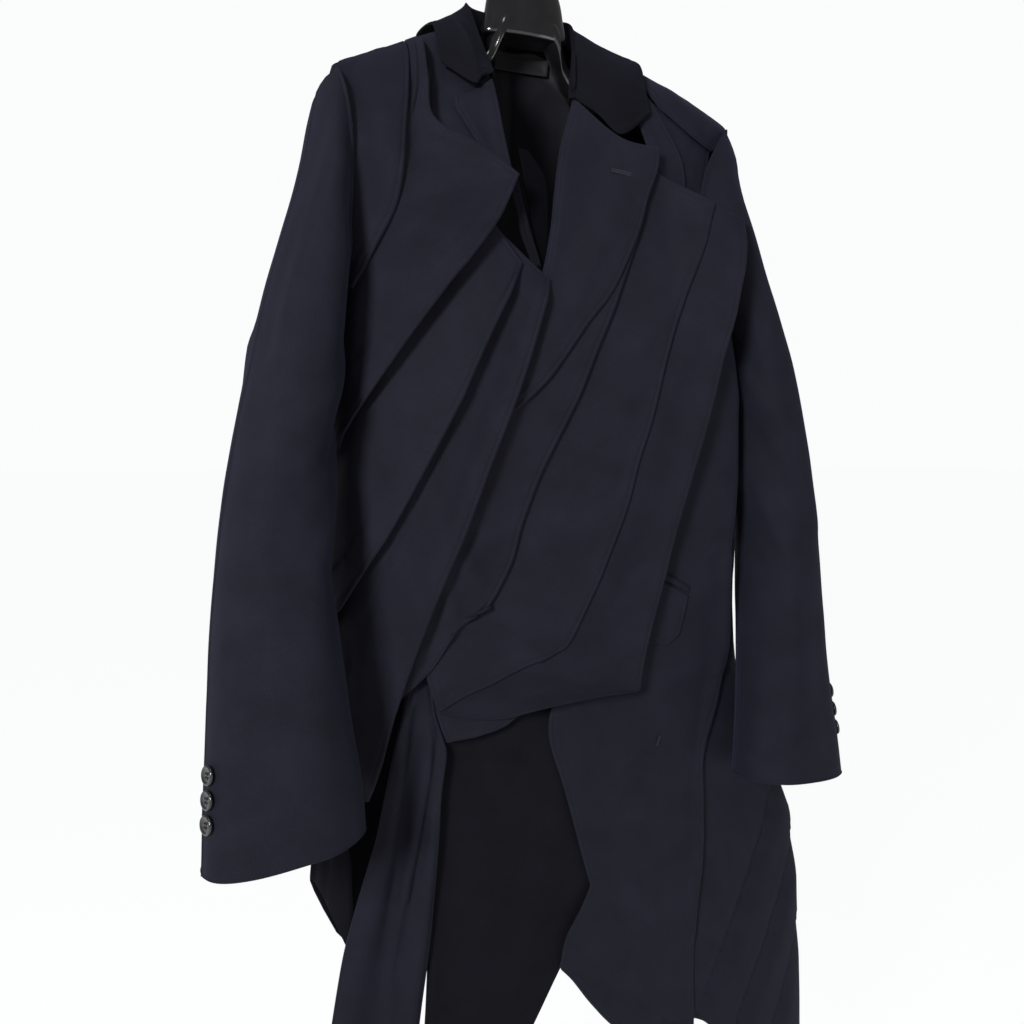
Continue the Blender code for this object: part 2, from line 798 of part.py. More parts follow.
def frame_at(rows, t, degrees):
    """Place and outward direction on a sleeve."""
    p = sleeve_point(rows, t, degrees)
    across = sleeve_point(rows, t, degrees + 2) - sleeve_point(rows, t, degrees - 2)
    along = sleeve_point(rows, t + 0.05, degrees) - sleeve_point(rows, t - 0.05, degrees)
    out = across.cross(along).normalized()
    if out.x * p.x < 0:
        out.negate()
    return p, out


def button(name, rows, z, look):
    """A dished disc, turned about its own axis."""
    t = len(rows) - 2.0
    for _ in range(30):
        p, out = frame_at(rows, t, BUTTON_ANGLE)
        t += (p.z - z) / 60.0
    bm = bmesh.new()
    r, h = BUTTON_DIAMETER / 2, BUTTON_THICK
    profile = ((0, 0), (r * 0.8, 0), (r, h * 0.35), (r, h * 0.75), (r * 0.9, h),
               (r * 0.72, h * 0.95), (r * 0.62, h * 0.72), (0, h * 0.72))
    points = [bm.verts.new((x * MM, 0, y * MM)) for x, y in profile]
    for a, b in zip(points, points[1:]):
        bm.edges.new((a, b))
    bmesh.ops.spin(bm, geom=bm.verts[:] + bm.edges[:], axis=(0, 0, 1), cent=(0, 0, 0),
                   steps=20, angle=math.tau, use_merge=True)
    bmesh.ops.remove_doubles(bm, verts=bm.verts[:], dist=1e-6)
    bmesh.ops.recalc_face_normals(bm, faces=bm.faces[:])
    made = object_from(name, bm, look)
    made.rotation_mode = "QUATERNION"
    made.rotation_quaternion = out.to_track_quat("Z", "X")
    made.location = (p + out * (SHANK + 0.3)) * MM
    return made


def collar(name, look):
    """Fall and stand in one sheet, folded over at its top."""
    stations = []
    for outer, mid, fold, foot in COLLAR:
        outer, mid, fold, foot = (Vector(p) for p in (outer, mid, fold, foot))
        away = fold - foot
        side = mid - foot
        side.z = 0
        side.normalize()
        top = fold + Vector((0, 0, 1.4))
        stations.append([
            outer,
            mid,
            mid.lerp(fold, 0.55) + side * 2.0,
            fold + side * FOLD_HALF - Vector((0, 0, 2.0)),
            top,
            fold - side * FOLD_HALF * 0.6 - Vector((0, 0, 2.0)),
            fold.lerp(foot, 0.55) - side * 0.5,
            foot,
        ])
    grid = []
    for i in range(len(stations)):
        grid.append([stations[i][k] for k in range(8)])
    return sheet_grid(name, grid, look, flip=True)


def lining(name, look):
    grid = []
    columns, levels = 8, 5
    for i in range(levels + 1):
        v = i / levels
        half = LINING["half_top"] + (LINING["half_bottom"] - LINING["half_top"]) * v ** 0.7
        row = []
        for j in range(columns + 1):
            x = half * (2 * j / columns - 1)
            top = back_top(x) - LINING["under_edge"]
            z = top + (LINING["bottom"] - top) * v ** 1.4
            row.append(Vector((x, back_y(x, z, -LINING["inset"]), z)))
        grid.append(row)
    return sheet_grid(name, grid, look, thick=0.001)


def label(name, look):
    grid = []
    for i in range(3):
        z = LABEL["z"] - LABEL["high"] * i / 2
        row = []
        for j in range(7):
            x = LABEL["x"] + LABEL["wide"] * (j / 6 - 0.5)
            y = back_y(x, z, -LINING["inset"]) - 4.2
            row.append(Vector((x, y, z)))
        grid.append(row)
    return sheet_grid(name, grid, look, thick=LABEL["thick"] * MM)


def ring(bm, centre, first, second, count, power=2.4):
    verts = []
    for k in range(count):
        a = math.tau * k / count
        c, s = math.cos(a), math.sin(a)
        c = math.copysign(abs(c) ** (2 / power), c)
        s = math.copysign(abs(s) ** (2 / power), s)
        verts.append(bm.verts.new((centre + first * c + second * s) * MM))
    return verts


def loft(bm, rings):
    for a, b in zip(rings, rings[1:]):
        for k in range(len(a)):
            m = (k + 1) % len(a)
            bm.faces.new((a[k], a[m], b[m], b[k]))
    bm.faces.new(rings[0][::-1])
    bm.faces.new(rings[-1])
    bmesh.ops.recalc_face_normals(bm, faces=bm.faces[:])


def hanger(name, look):
    """Two arms swept forward and a flared neck, moulded in one."""
    bm = bmesh.new()
    rings = []
    full = [(-x, y, z, d, h) for x, y, z, d, h in ARM[:0:-1]] + list(ARM)
    for x, y, z, deep, high in full:
        rings.append(ring(bm, Vector((x, y, z)), Vector((0, deep, 0)), Vector((0, 0, high)), 14))
    loft(bm, rings)
    arms = object_from(name, bm, look)
    bm = bmesh.new()
    rings = [ring(bm, Vector((0, 0, z)), Vector((wide, 0, 0)), Vector((0, deep, 0)), 20)
             for z, wide, deep in NECK]
    loft(bm, rings)
    neck = object_from("hanger_neck_cutter", bm, look)
    JACKET.objects.unlink(neck)
    HELPERS.objects.link(neck)
    neck.hide_render = True
    neck.display_type = "WIRE"
    join = arms.modifiers.new("neck", "BOOLEAN")
    join.operation = "UNION"
    join.object = neck
    bore = bpy.data.objects.new("hook_bore", bpy.data.meshes.new("hook_bore"))
    bm = bmesh.new()
    bmesh.ops.create_cone(bm, cap_ends=True, segments=20,
                          radius1=(HOOK_WIRE / 2 + 0.3) * MM, radius2=(HOOK_WIRE / 2 + 0.3) * MM,
                          depth=40 * MM)
    bmesh.ops.translate(bm, verts=bm.verts[:], vec=(0, 0, (HOOK_FROM - 0.5 + 20) * MM))
    bm.to_mesh(bore.data)
    bm.free()
    HELPERS.objects.link(bore)
    bore.hide_render = True
    bore.display_type = "WIRE"
    cut = arms.modifiers.new("bore", "BOOLEAN")
    cut.operation = "DIFFERENCE"
    cut.object = bore
    return arms


def hook(name, look):
    """Steel wire: a stem, a bend to the side, and a crown open on one side."""
    radius = HOOK_INSIDE + HOOK_WIRE / 2
    centre = -HOOK_INSIDE
    points = [Vector((0, 0, HOOK_FROM)), Vector((0, 0, HOOK_BEND - 8)), Vector((0.6, 0, HOOK_BEND))]
    start = math.radians(-62)
    first = Vector((radius * math.cos(start), 0, centre + radius * math.sin(start)))
    points.append(Vector((4.2, 0, HOOK_BEND + 8.5)))
    count = 24
    stop = math.radians(208)
    for k in range(count + 1):
        a = start + (stop - start) * k / count
        points.append(Vector((radius * math.cos(a), 0, centre + radius * math.sin(a))))
    curve = bpy.data.curves.new(name, "CURVE")
    curve.dimensions = "3D"
    curve.bevel_depth = HOOK_WIRE / 2 * MM
    curve.bevel_resolution = 3
    curve.use_fill_caps = True
    line = curve.splines.new("POLY")
    line.points.add(len(points) - 1)
    for point, p in zip(line.points, points):
        point.co = (p.x * MM, p.y * MM, p.z * MM, 1)
    made = bpy.data.objects.new(name, curve)
    JACKET.objects.link(made)
    curve.materials.append(look)
    return made


for old in list(bpy.data.objects):
    bpy.data.objects.remove(old)
JACKET = collection("long_jacket")
HELPERS = collection("helpers")

WOOL = (0.020, 0.019, 0.028)
looks = {}


def look_for(name, colour=WOOL, roughness=0.82, metallic=0.0):
    looks[name] = material(name, colour, roughness, metallic)
    return looks[name]


SHAPES = {"drape_fold": drape_shape, "layer_left_outer": lifted_shape,
          "layer_left_inner": lifted_shape}
for node, spec in PANELS.items():
    panel(node, spec, look_for(node), SHAPES.get(node))
for node, spec in LAPELS.items():
    panel(node, spec, look_for(node), lapel_shape(spec["roll"]))

back_panel("back_right", -1, look_for("back_right"))
back_panel("back_left", 1, look_for("back_left"))
side_panel("side_right", SIDE_RIGHT, -1, look_for("side_right"), 6)
side_panel("side_left", SIDE_LEFT, 1, look_for("side_left"), 16, pleated=True)

for side, rows in (("right", SLEEVE_RIGHT), ("left", SLEEVE_LEFT)):
    sleeve(f"sleeve_{side}_top", rows, SLEEVE_BACK_SEAM, SLEEVE_FRONT_SEAM,
           look_for(f"sleeve_{side}_top"), 11, SADDLES[side])
    sleeve(f"sleeve_{side}_under", rows, SLEEVE_FRONT_SEAM, SLEEVE_BACK_SEAM + 360,
           look_for(f"sleeve_{side}_under"), 9, SADDLES[side])

for side, rows in (("right", SLEEVE_RIGHT), ("left", SLEEVE_LEFT)):
    for k in range(3):
        height = rows[-1][1] + BUTTONS_FROM_HEM + BUTTON_PITCH * k
        button(f"button_{side}_{k + 1}", rows, height,
               look_for(f"button_{side}_{k + 1}", (0.012, 0.011, 0.013), 0.28))

collar("collar", look_for("collar"))
lining("lining_back", look_for("lining_back", (0.012, 0.012, 0.020), 0.38))
label("label", look_for("label", (0.015, 0.014, 0.018), 0.35))
hanger("hanger_body", look_for("hanger_body", (0.004, 0.004, 0.005), 0.08))
hook("hanger_hook", look_for("hanger_hook", (0.60, 0.60, 0.60), 0.22, 1.0))
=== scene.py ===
"""The looks of a long layered wool jacket on a moulded hanger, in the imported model's frame.

The tables and the forms' functions are those of the part's source, in
millimetres; here the same lofts are made in small steps, with their folded
edges, seams and creases.
"""

import math
import bmesh
import bpy
import numpy as np
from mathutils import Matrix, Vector, noise


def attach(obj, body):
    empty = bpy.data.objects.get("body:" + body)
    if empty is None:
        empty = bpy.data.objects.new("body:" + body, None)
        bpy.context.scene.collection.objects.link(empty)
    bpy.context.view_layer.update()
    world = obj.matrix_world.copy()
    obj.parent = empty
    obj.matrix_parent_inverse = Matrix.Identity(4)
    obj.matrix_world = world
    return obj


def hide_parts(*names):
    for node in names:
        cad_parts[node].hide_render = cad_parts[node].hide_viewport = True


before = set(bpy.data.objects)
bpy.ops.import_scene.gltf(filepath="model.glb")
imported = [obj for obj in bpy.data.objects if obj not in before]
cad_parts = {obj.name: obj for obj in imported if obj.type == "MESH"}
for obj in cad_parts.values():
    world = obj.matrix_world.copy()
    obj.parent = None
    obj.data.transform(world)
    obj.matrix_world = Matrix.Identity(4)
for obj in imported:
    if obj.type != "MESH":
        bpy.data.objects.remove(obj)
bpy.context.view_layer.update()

MM = 0.001
CLOTH = 0.0016          # wall of one layer of cloth
SEAM = 0.0003           # gap left at every seam
LEVEL = 3.6             # from one layer to the next at the front
LEVEL_SIDE = 2.6        # the same at the wearer's right side, where they are sewn in
SIDE_STEP = 2.3         # the same round the side, outwards
BEND = 150.0            # past this, a table's x runs round the side of the form
STACK = 24.0            # the form gives way this much under the right front's stack
SHOULDER_ROUND = 90.0   # height in which the front rounds over the shoulder
BACK_ROUND = 30.0       # the same at the back

NECK_HALF = 65.0        # the neck opening's half width on the shoulder line
NECK_Z = -148.0         # the shoulder line's height at the neck
SHOULDER_DROP = (65.0, 68.0)   # from there to the shoulder point, right and left
SHOULDER_RUN = 125.0

# One row for each section of the body.
# z, half width right, half width left, depth front, depth back, forward sweep
# at the sides, squareness right, squareness left
FORM = (
    (-100, 190, 178, 44, 42, 52, 6.0, 6.0),
    (-210, 190, 178, 52, 46, 52, 6.0, 6.0),
    (-260, 188, 175, 62, 47, 50, 6.0, 6.0),
    (-320, 184, 171, 74, 47, 46, 6.0, 6.0),
    (-380, 180, 171, 80, 46, 40, 6.0, 6.0),
    (-450, 180, 185, 80, 45, 33, 6.0, 6.2),
    (-560, 183, 196, 74, 43, 24, 6.0, 6.0),
    (-640, 186, 204, 69, 42, 17, 5.5, 4.8),
    (-700, 188, 216, 66, 41, 13, 5.0, 3.0),
    (-780, 199, 251, 62, 40, 13, 4.5, 2.4),
    (-850, 209, 276, 60, 39, 15, 4.0, 2.4),
    (-920, 215, 285, 58, 39, 15, 3.7, 2.4),
    (-1000, 220, 291, 57, 38, 14, 3.5, 2.4),
    (-1130, 222, 298, 56, 38, 12, 3.5, 2.4),
)

# Soft hollows of the whole front: from (x, z) to (x, z), half width, depth
HOLLOWS = (
    (-118, -190, -122, -272, 17, 9),
    (150, -240, 122, -290, 42, 15),
)

# One table for each front panel: a row for each section across it, from the top
# down. left x, left z, right x, right z, corner ("l" or "r" where that side has
# a sharp corner)
PANELS = {
    "side_front_right": {"level": 11.2, "across": 4, "down": 1, "rows": (
        (-186, -211, -120, -174, ""),
        (-187, -222, -125, -200, ""),
        (-186, -236, -131, -228, ""),
        (-184, -256, -137, -257, ""),
        (-185, -288, -141, -286, ""),
        (-189, -322, -150, -323, ""),
        (-192, -352, -170, -360, ""),
        (-190, -372, -184, -378, ""),
    )},
    "layer_right_1": {"level": 9.7, "across": 6, "down": 1, "rows": (
        (-119, -173, -108, -167, ""),
        (-124, -199, -111, -194, ""),
        (-131, -226, -113, -221, ""),
        (-145, -259, -115, -246, ""),
        (-148, -280, -106, -260, "r"),
        (-152, -301, -81, -273, ""),
        (-157, -320, -55, -291, "r"),
        (-169, -342, -74, -325, ""),
        (-186, -362, -107, -368, ""),
        (-204, -390, -138, -413, ""),
        (-206, -436, -172, -466, ""),
        (-206, -486, -198, -506, ""),
    )},
    "yoke_right": {"level": 7, "across": 4, "down": 2, "rows": (
        (-107, -168, -80, -155, ""),
        (-111, -205, -72, -200, ""),
        (-118, -239, -66, -230, ""),
        (-117, -265, -60, -257, ""),
        (-106, -283, -56, -278, ""),
    )},
    "layer_right_2": {"level": 8.15, "across": 6, "down": 1, "rows": (
        (-84, -312, -49, -354, ""),
        (-102, -334, -62, -377, ""),
        (-119, -357, -75, -402, ""),
        (-135, -380, -89, -431, ""),
        (-151, -405, -103, -462, ""),
        (-172, -434, -122, -504, ""),
        (-196, -466, -140, -542, ""),
        (-206, -510, -163, -585, ""),
        (-206, -565, -186, -625, ""),
        (-206, -620, -198, -648, ""),
    )},
    "layer_right_3": {"level": 6.9, "across": 6, "down": 1, "rows": (
        (-66, -330, -24, -364, ""),
        (-75, -371, -31, -385, ""),
        (-89, -398, -44, -427, ""),
        (-104, -429, -60, -471, ""),
        (-118, -459, -75, -510, ""),
        (-134, -500, -91, -555, ""),
        (-153, -538, -108, -599, ""),
        (-181, -582, -127, -657, ""),
        (-203, -626, -142, -709, ""),
        (-200, -680, -150, -740, ""),
        (-188, -728, -155, -761, ""),
        (-177, -773, -158, -773, ""),
    )},
    "layer_centre": {"level": 5.25, "across": 5, "down": 1, "rows": (
        (5, -281, 70, -288, ""),
        (-12, -331, 54, -331, ""),
        (-25, -371, 37, -374, ""),
        (-39, -411, 20, -416, ""),
        (-54, -446, 3, -456, ""),
        (-70, -481, -13, -487, ""),
        (-87, -519, -28, -518, ""),
        (-103, -562, -41, -555, ""),
        (-115, -604, -48, -583, ""),
        (-126, -638, -57, -603, ""),
        (-133, -662, -67, -618, ""),
        (-139, -682, -88, -631, ""),
        (-141, -698, -113, -670, ""),
    )},
    "layer_left_inner": {"level": 4, "spread": 225, "across": 5, "down": 1, "rows": (
        (68, -256, 128, -291, ""),
        (55, -305, 117, -318, ""),
        (40, -344, 103, -353, ""),
        (24, -382, 94, -381, ""),
        (5, -424, 82, -424, ""),
        (-14, -464, 71, -471, ""),
        (-28, -496, 60, -507, ""),
        (-40, -528, 51, -543, ""),
        (-53, -560, 34, -588, ""),
        (-63, -583, 17, -629, ""),
        (-75, -607, 3, -656, ""),
        (-92, -622, -9, -664, "r"),
        (-110, -645, -40, -675, ""),
        (-118, -670, -64, -686, "l"),
        (-113, -686, -85, -694, ""),
        (-107, -703, -103, -704, ""),
    )},
    "layer_left_outer": {"level": 3, "spread": 225, "across": 5, "down": 1, "rows": (
        (118, -284, 150, -303, ""),
        (104, -319, 144, -335, ""),
        (89, -356, 138, -364, ""),
        (78, -397, 134, -404, ""),
        (61, -455, 121, -471, ""),
        (43, -513, 108, -523, ""),
        (22, -570, 95, -574, ""),
        (-5, -627, 81, -633, ""),
        (-30, -655, 73, -670, ""),
        (-58, -673, 69, -701, "r"),
        (-82, -685, 26, -702, ""),
        (-98, -694, -22, -708, ""),
        (-107, -702, -50, -715, ""),
        (-105, -707, -81, -714, ""),
    )},
    "crescent": {"level": 2, "across": 4, "down": 2, "rows": (
        (-107, -694, -44, -697, ""),
        (-105, -707, -40, -706, ""),
        (-101, -720, -35, -714, "r"),
        (-98, -728, -49, -724, ""),
        (-96, -733, -72, -730, ""),
    )},
    "skirt_centre": {"level": -1, "across": 5, "down": 1, "rows": (
        (-112, -688, 33, -690, ""),
        (-109, -749, 49, -765, ""),
        (-105, -826, 58, -848, ""),
        (-106, -895, 36, -903, ""),
        (-108, -956, 10, -948, ""),
        (-111, -1008, -16, -997, ""),
        (-113, -1050, -38, -1043, ""),
        (-114, -1082, -62, -1084, ""),
    )},
    "skirt_left": {"level": 1, "across": 6, "down": 1, "rows": (
        (117, -330, 122, -330, ""),
        (117, -352, 128, -352, ""),
        (117, -378, 146, -380, ""),
        (118, -404, 176, -398, ""),
        (112, -454, 177, -455, ""),
        (99, -522, 175, -530, ""),
        (82, -590, 166, -595, ""),
        (60, -645, 171, -675, "l"),
        (-3, -696, 163, -715, "l"),
        (-8, -734, 151, -768, ""),
        (7, -782, 150, -814, ""),
        (25, -842, 150, -868, ""),
        (35, -874, 146, -907, "l"),
        (26, -892, 144, -940, ""),
        (12, -916, 144, -979, ""),
        (6, -943, 145, -1016, "l"),
        (18, -956, 145, -1031, ""),
        (37, -982, 145, -1041, ""),
        (62, -1010, 145, -1050, ""),
        (96, -1034, 141, -1056, ""),
    )},
    "yoke_left": {"level": 1.6, "across": 2, "down": 2, "rows": (
        (88, -157, 88, -190, ""),
        (98, -163, 97, -205, ""),
        (109, -169, 106, -212, ""),
        (126, -179, 123, -223, ""),
        (145, -190, 136, -229, ""),
        (168, -200, 145, -233, ""),
        (191, -208, 152, -236, ""),
    )},
    "front_left_upper": {"level": 1, "across": 4, "down": 2, "rows": (
        (86, -197, 156, -229, ""),
        (92, -221, 151, -242, ""),
        (102, -246, 143, -262, ""),
        (115, -270, 139, -285, ""),
        (122, -295, 135, -311, ""),
    )},
    "layer_left_top": {"level": 2.6, "across": 3, "down": 2, "rows": (
        (60, -156, 85, -157, ""),
        (64, -188, 86, -189, ""),
        (66, -207, 92, -204, ""),
        (74, -229, 101, -225, ""),
        (80, -250, 112, -247, ""),
        (84, -264, 116, -262, ""),
        (90, -279, 117, -277, ""),
    )},
    "pocket_welt": {"level": 1.6, "across": 3, "down": 1, "rows": (
        (88, -597, 122, -615, ""),
        (87, -603, 121, -621, ""),
    )},
    "pocket_flap": {"level": 1.6, "across": 3, "down": 2, "rows": (
        (87, -605, 121, -623, ""),
        (84, -632, 119, -638, ""),
        (81, -655, 115, -658, "r"),
        (80, -662, 104, -666, ""),
    )},
    "facing_right": {"level": 6, "across": 2, "down": 1, "rows": (
        (-60, -279, -46, -284, ""),
        (-53, -303, -44, -301, ""),
        (-48, -327, -39, -324, ""),
        (-41, -345, -32, -346, ""),
        (-38, -355, -30, -353, ""),
    )},
    "facing_left": {"level": 4, "across": 2, "down": 1, "rows": (
        (-39, -258, -31, -259, ""),
        (-37, -284, -18, -282, ""),
        (-33, -320, -19, -316, ""),
        (-28, -352, -22, -351, ""),
    )},
    "drape_fold": {"level": 1.2, "across": 10, "down": 1, "rows": (
        (-125, -672, -107, -665, ""),
        (-131, -704, -104, -706, ""),
        (-137, -734, -96, -737, ""),
        (-144, -773, -100, -776, ""),
        (-153, -818, -101, -822, ""),
        (-164, -863, -103, -869, ""),
        (-174, -905, -107, -916, ""),
        (-183, -959, -114, -970, ""),
        (-193, -1014, -121, -1028, ""),
        (-200, -1062, -126, -1078, ""),
    )},
}

# The lapels are turned-out cloth: left, middle and right of each section.
LAPELS = {
    "lapel_left": {"level": 6, "across": 4, "down": 1, "roll": "left", "rows": (
        (9, -213, 48, -241, 83, -247, ""),
        (1, -234, 41, -257, 80, -266, ""),
        (-8, -260, 31, -278, 68, -292, ""),
        (-16, -296, 20, -309, 57, -319, ""),
        (-22, -328, 7, -343, 33, -366, ""),
        (-28, -354, -9, -375, 10, -395, ""),
        (-40, -388, -20, -401, -3, -413, ""),
        (-52, -419, -36, -428, -21, -437, ""),
        (-62, -446, -51, -450, -39, -455, ""),
        (-66, -463, -61, -466, -56, -469, ""),
    )},
    "lapel_right": {"level": 8, "across": 4, "down": 2, "roll": "right", "rows": (
        (-96, -228, -80, -221, -62, -208, ""),
        (-95, -238, -78, -233, -60, -224, ""),
        (-84, -257, -72, -255, -57, -250, ""),
        (-72, -277, -64, -276, -54, -271, ""),
        (-58, -292, -55, -292, -52, -291, ""),
    )},
}

# The drape's hanging folds: place across (0 to 1) at its top and bottom, half
# width in mm, height
DRAPE_FOLDS = (
    (0.10, 0.24, 13, 8),
    (0.62, 0.52, 9, 6),
    (0.95, 0.80, 8, 5),
)

LIFT = 15.0               # the outer left layer's top corner, forward over the sleeve

# Back half panels: z, x of the side edge on the right, and on the left
BACK_SIDE = (
    (-214, -182, 167),
    (-290, -175, 161),
    (-370, -170, 161),
    (-389, -152, 148),
    (-450, -148, 145),
    (-560, -148, 148),
    (-700, -148, 165),
    (-850, -156, 200),
    (-1000, -160, 212),
    (-1130, -164, 218),
)
BACK_NECK_RISE = 26.0     # the back's neck stands this much over the shoulder line
BACK_NECK_SCOOP = 13.4    # and its edge is cut this much below that
ARMPIT = -389.0
BACK_UPPER, BACK_LOWER = 6, 11     # cross lines above and below the armpit
# The back's slanted hem: x, z
BACK_HEM = ((-196, -852), (-172, -905), (-140, -945), (-80, -972), (0, -984),
            (80, -996), (160, -1030), (215, -1075), (290, -1090))

# Side panels: z, x of the front edge along the cloth, level
SIDE_RIGHT = (
    (-389, -200, 6.0),
    (-700, -200, 6.0),
    (-760, -188, 1.6),
    (-830, -168, -1.8),
    (-960, -160, -1.8),
)
SIDE_LEFT = (
    (-389, 162, -0.4),
    (-600, 156, -0.15),
    (-680, 146, -0.15),
    (-800, 134, -0.15),
    (-1130, 126, -0.15),
)
# Knife pleats of the left side: x and z at the top, x and z at the bottom, depth
PLEATS = (
    (241, -825, 117, -1100, 4.0),
    (268, -884, 172, -1100, 4.0),
    (284, -960, 226, -1100, 3.5),
)

# Sleeves: one row for each ring. outer x, outer z, inner x, inner z, centre y,
# half depth. The right one; the left one has its own.
SLEEVE_RIGHT = (
    (-186, -214, -185, -384, -52, 40),
    (-192, -225, -186, -389, -54, 45),
    (-198, -247, -186, -394, -56, 50),
    (-204, -276, -187, -399, -58, 53),
    (-213, -310, -187, -405, -59, 55),
    (-224, -345, -187, -413, -60, 56),
    (-235, -384, -188, -425, -60, 57),
    (-245, -426, -189, -443, -61, 56),
    (-257, -474, -192, -478, -64, 53),
    (-270, -540, -197, -541, -71, 49),
    (-280, -612, -195, -611, -79, 45),
    (-287, -690, -188, -686, -88, 40),
    (-291, -746, -182, -736, -95, 37),
    (-293, -789, -180, -772, -98, 36),
)
SLEEVE_LEFT = (
    (177, -209, 174, -383, -48, 36),
    (178, -226, 175, -389, -50, 40),
    (179, -252, 176, -395, -53, 43),
    (184, -288, 177, -401, -55, 45),
    (193, -327, 178, -409, -56, 45),
    (206, -368, 180, -421, -57, 44),
    (222, -410, 183, -439, -57, 43),
    (235, -454, 187, -466, -58, 42),
    (247, -508, 194, -513, -60, 42),
    (257, -575, 199, -574, -65, 41),
    (262, -640, 195, -638, -71, 40),
    (263, -700, 187, -697, -80, 38),
    (266, -748, 177, -744, -90, 36),
    (271, -790, 170, -787, -95, 35),
)
# The shoulder seam, where the back's top edge meets the yokes: x, y
SHOULDER_SEAM = (
    (-182, -40.0),
    (-160, -35.0),
    (-140, -31.5),
    (-120, -14.6),
    (-100, -14.3),
    (-80, -15.0),
    (-62, -4.0),
    (62, 2.0),
    (90, -9.2),
    (110, -20.6),
    (130, -30.3),
    (150, -34.1),
    (170, -38.4),
)
# How far the armhole's edge comes in over the body at the front and at the back
SADDLES = {"right": (5, 11), "left": (45, 15)}
SLEEVE_BACK_SEAM = 92.0    # degrees round the sleeve, 90 is its outer edge
SLEEVE_FRONT_SEAM = 285.0

# Cuff buttons
BUTTON_DIAMETER = 14.0
BUTTON_THICK = 3.0
BUTTON_PITCH = 16.5
BUTTON_ANGLE = 108.0
BUTTONS_FROM_HEM = 39.0
SHANK = 2.0

# Collar: outer edge, middle of the fall, fold line, stand's foot; x, y, z each.
# From the right front end round the back of the neck to the left front end.
COLLAR = (
    ((-103, -67, -201), (-82, -82, -217), (-62, -73, -203), (-56, -64, -207)),
    ((-103, -61, -186), (-79, -65, -186), (-57, -47, -181), (-52, -40, -190)),
    ((-95, -26, -155), (-74, -25, -149), (-51, -21, -157), (-51, -14, -162)),
    ((-98, 4, -155), (-73, 5, -136), (-49, 3, -127), (-46, 1, -146)),
    ((-84, 32, -158), (-62, 31, -133), (-45, 22, -113), (-40, 17, -137)),
    ((-50, 53, -161), (-40, 49, -133), (-30, 38, -110), (-26, 31, -131)),
    ((0, 58, -162), (0, 55, -134), (0, 44, -109), (0, 37, -132)),
    ((50, 53, -161), (40, 49, -133), (30, 38, -110), (26, 31, -131)),
    ((84, 31, -158), (62, 31, -133), (46, 22, -113), (40, 17, -137)),
    ((95, -4, -151), (71, 2, -136), (49, 4, -123), (46, 1, -146)),
    ((91, -42, -164), (66, -36, -157), (37, -21, -149), (38, -14, -162)),
    ((83, -64, -190), (52, -68, -189), (23, -48, -180), (22, -40, -190)),
    ((84, -72, -214), (49, -84, -239), (9, -73, -211), (8, -65, -212)),
)
FOLD_HALF = 2.6            # half the collar's thickness at its fold

# Lining of the back neck and the bare label on it
LINING = {"half_top": 34, "half_bottom": 118, "under_edge": 8.0, "bottom": -400, "inset": 13.0}
LABEL = {"x": 10, "z": -148, "wide": 52, "high": 13, "thick": 0.8}

# Hanger: arm sections: x, centre y, centre z, half depth, half height
ARM = (
    (0, 0, -132, 13, 10),
    (18, -1, -135, 13, 11),
    (27, -2, -144, 13, 14),
    (34, 0, -160, 10, 15),
    (41, -1, -174, 10, 11.5),
    (60, -6, -185, 14, 10),
    (90, -13, -190, 14, 9.5),
    (120, -24, -200, 13, 9),
    (140, -30, -211, 12, 8.5),
    (152, -33, -219, 11, 7.5),
    (158, -34, -223, 8, 5),
)
# The flared neck: z, half width, half depth
NECK = (
    (-146, 42, 15),
    (-142, 41.5, 15.5),
    (-128, 37, 15),
    (-112, 34, 14),
    (-98, 29, 13),
    (-87, 24, 12),
    (-79, 18, 10),
    (-76, 12, 8),
)
HOOK_WIRE = 4.6
HOOK_INSIDE = 22.0         # radius inside the crown
HOOK_FROM = -90.0
HOOK_BEND = -58.0


def smooth(t):
    t = min(1.0, max(0.0, t))
    return t * t * (3 - 2 * t)


def table(rows, z, column):
    """A value of a table between its rows, by z."""
    if z >= rows[0][0]:
        return rows[0][column]
    for above, below in zip(rows, rows[1:]):
        if z >= below[0]:
            t = (above[0] - z) / (above[0] - below[0])
            return above[column] + (below[column] - above[column]) * t
    return rows[-1][column]


def ridge(x):
    """Height of the shoulder line."""
    run = max(0.0, abs(x) - NECK_HALF) / SHOULDER_RUN
    return NECK_Z - SHOULDER_DROP[x > 0] * run ** 1.15


def dome(s):
    s = min(1.0, max(0.0, s))
    return math.sqrt(max(0.0, 1 - (1 - s) ** 2))


def half_and_square(side, z):
    left = side > 0
    return table(FORM, z, 2 if left else 1), table(FORM, z, 7 if left else 6)


def middle(x, z):
    return -table(FORM, z, 5) * (x / 190.0) ** 2


def hollow(x, z, row):
    x0, z0, x1, z1, wide, deep = row
    dx, dz = x1 - x0, z1 - z0
    t = min(1.0, max(0.0, ((x - x0) * dx + (z - z0) * dz) / (dx * dx + dz * dz)))
    return deep * math.exp(-((x - x0 - t * dx) ** 2 + (z - z0 - t * dz) ** 2) / wide ** 2)


def side_run(side, z):
    """Length of cloth from BEND round to the side of the form, and the angle it turns."""
    half, square = half_and_square(side, z)
    start = math.asin(math.sqrt(1 - (BEND / half) ** square))
    return 1.05 * math.hypot(half - BEND, table(FORM, z, 3) * math.sin(start)), start


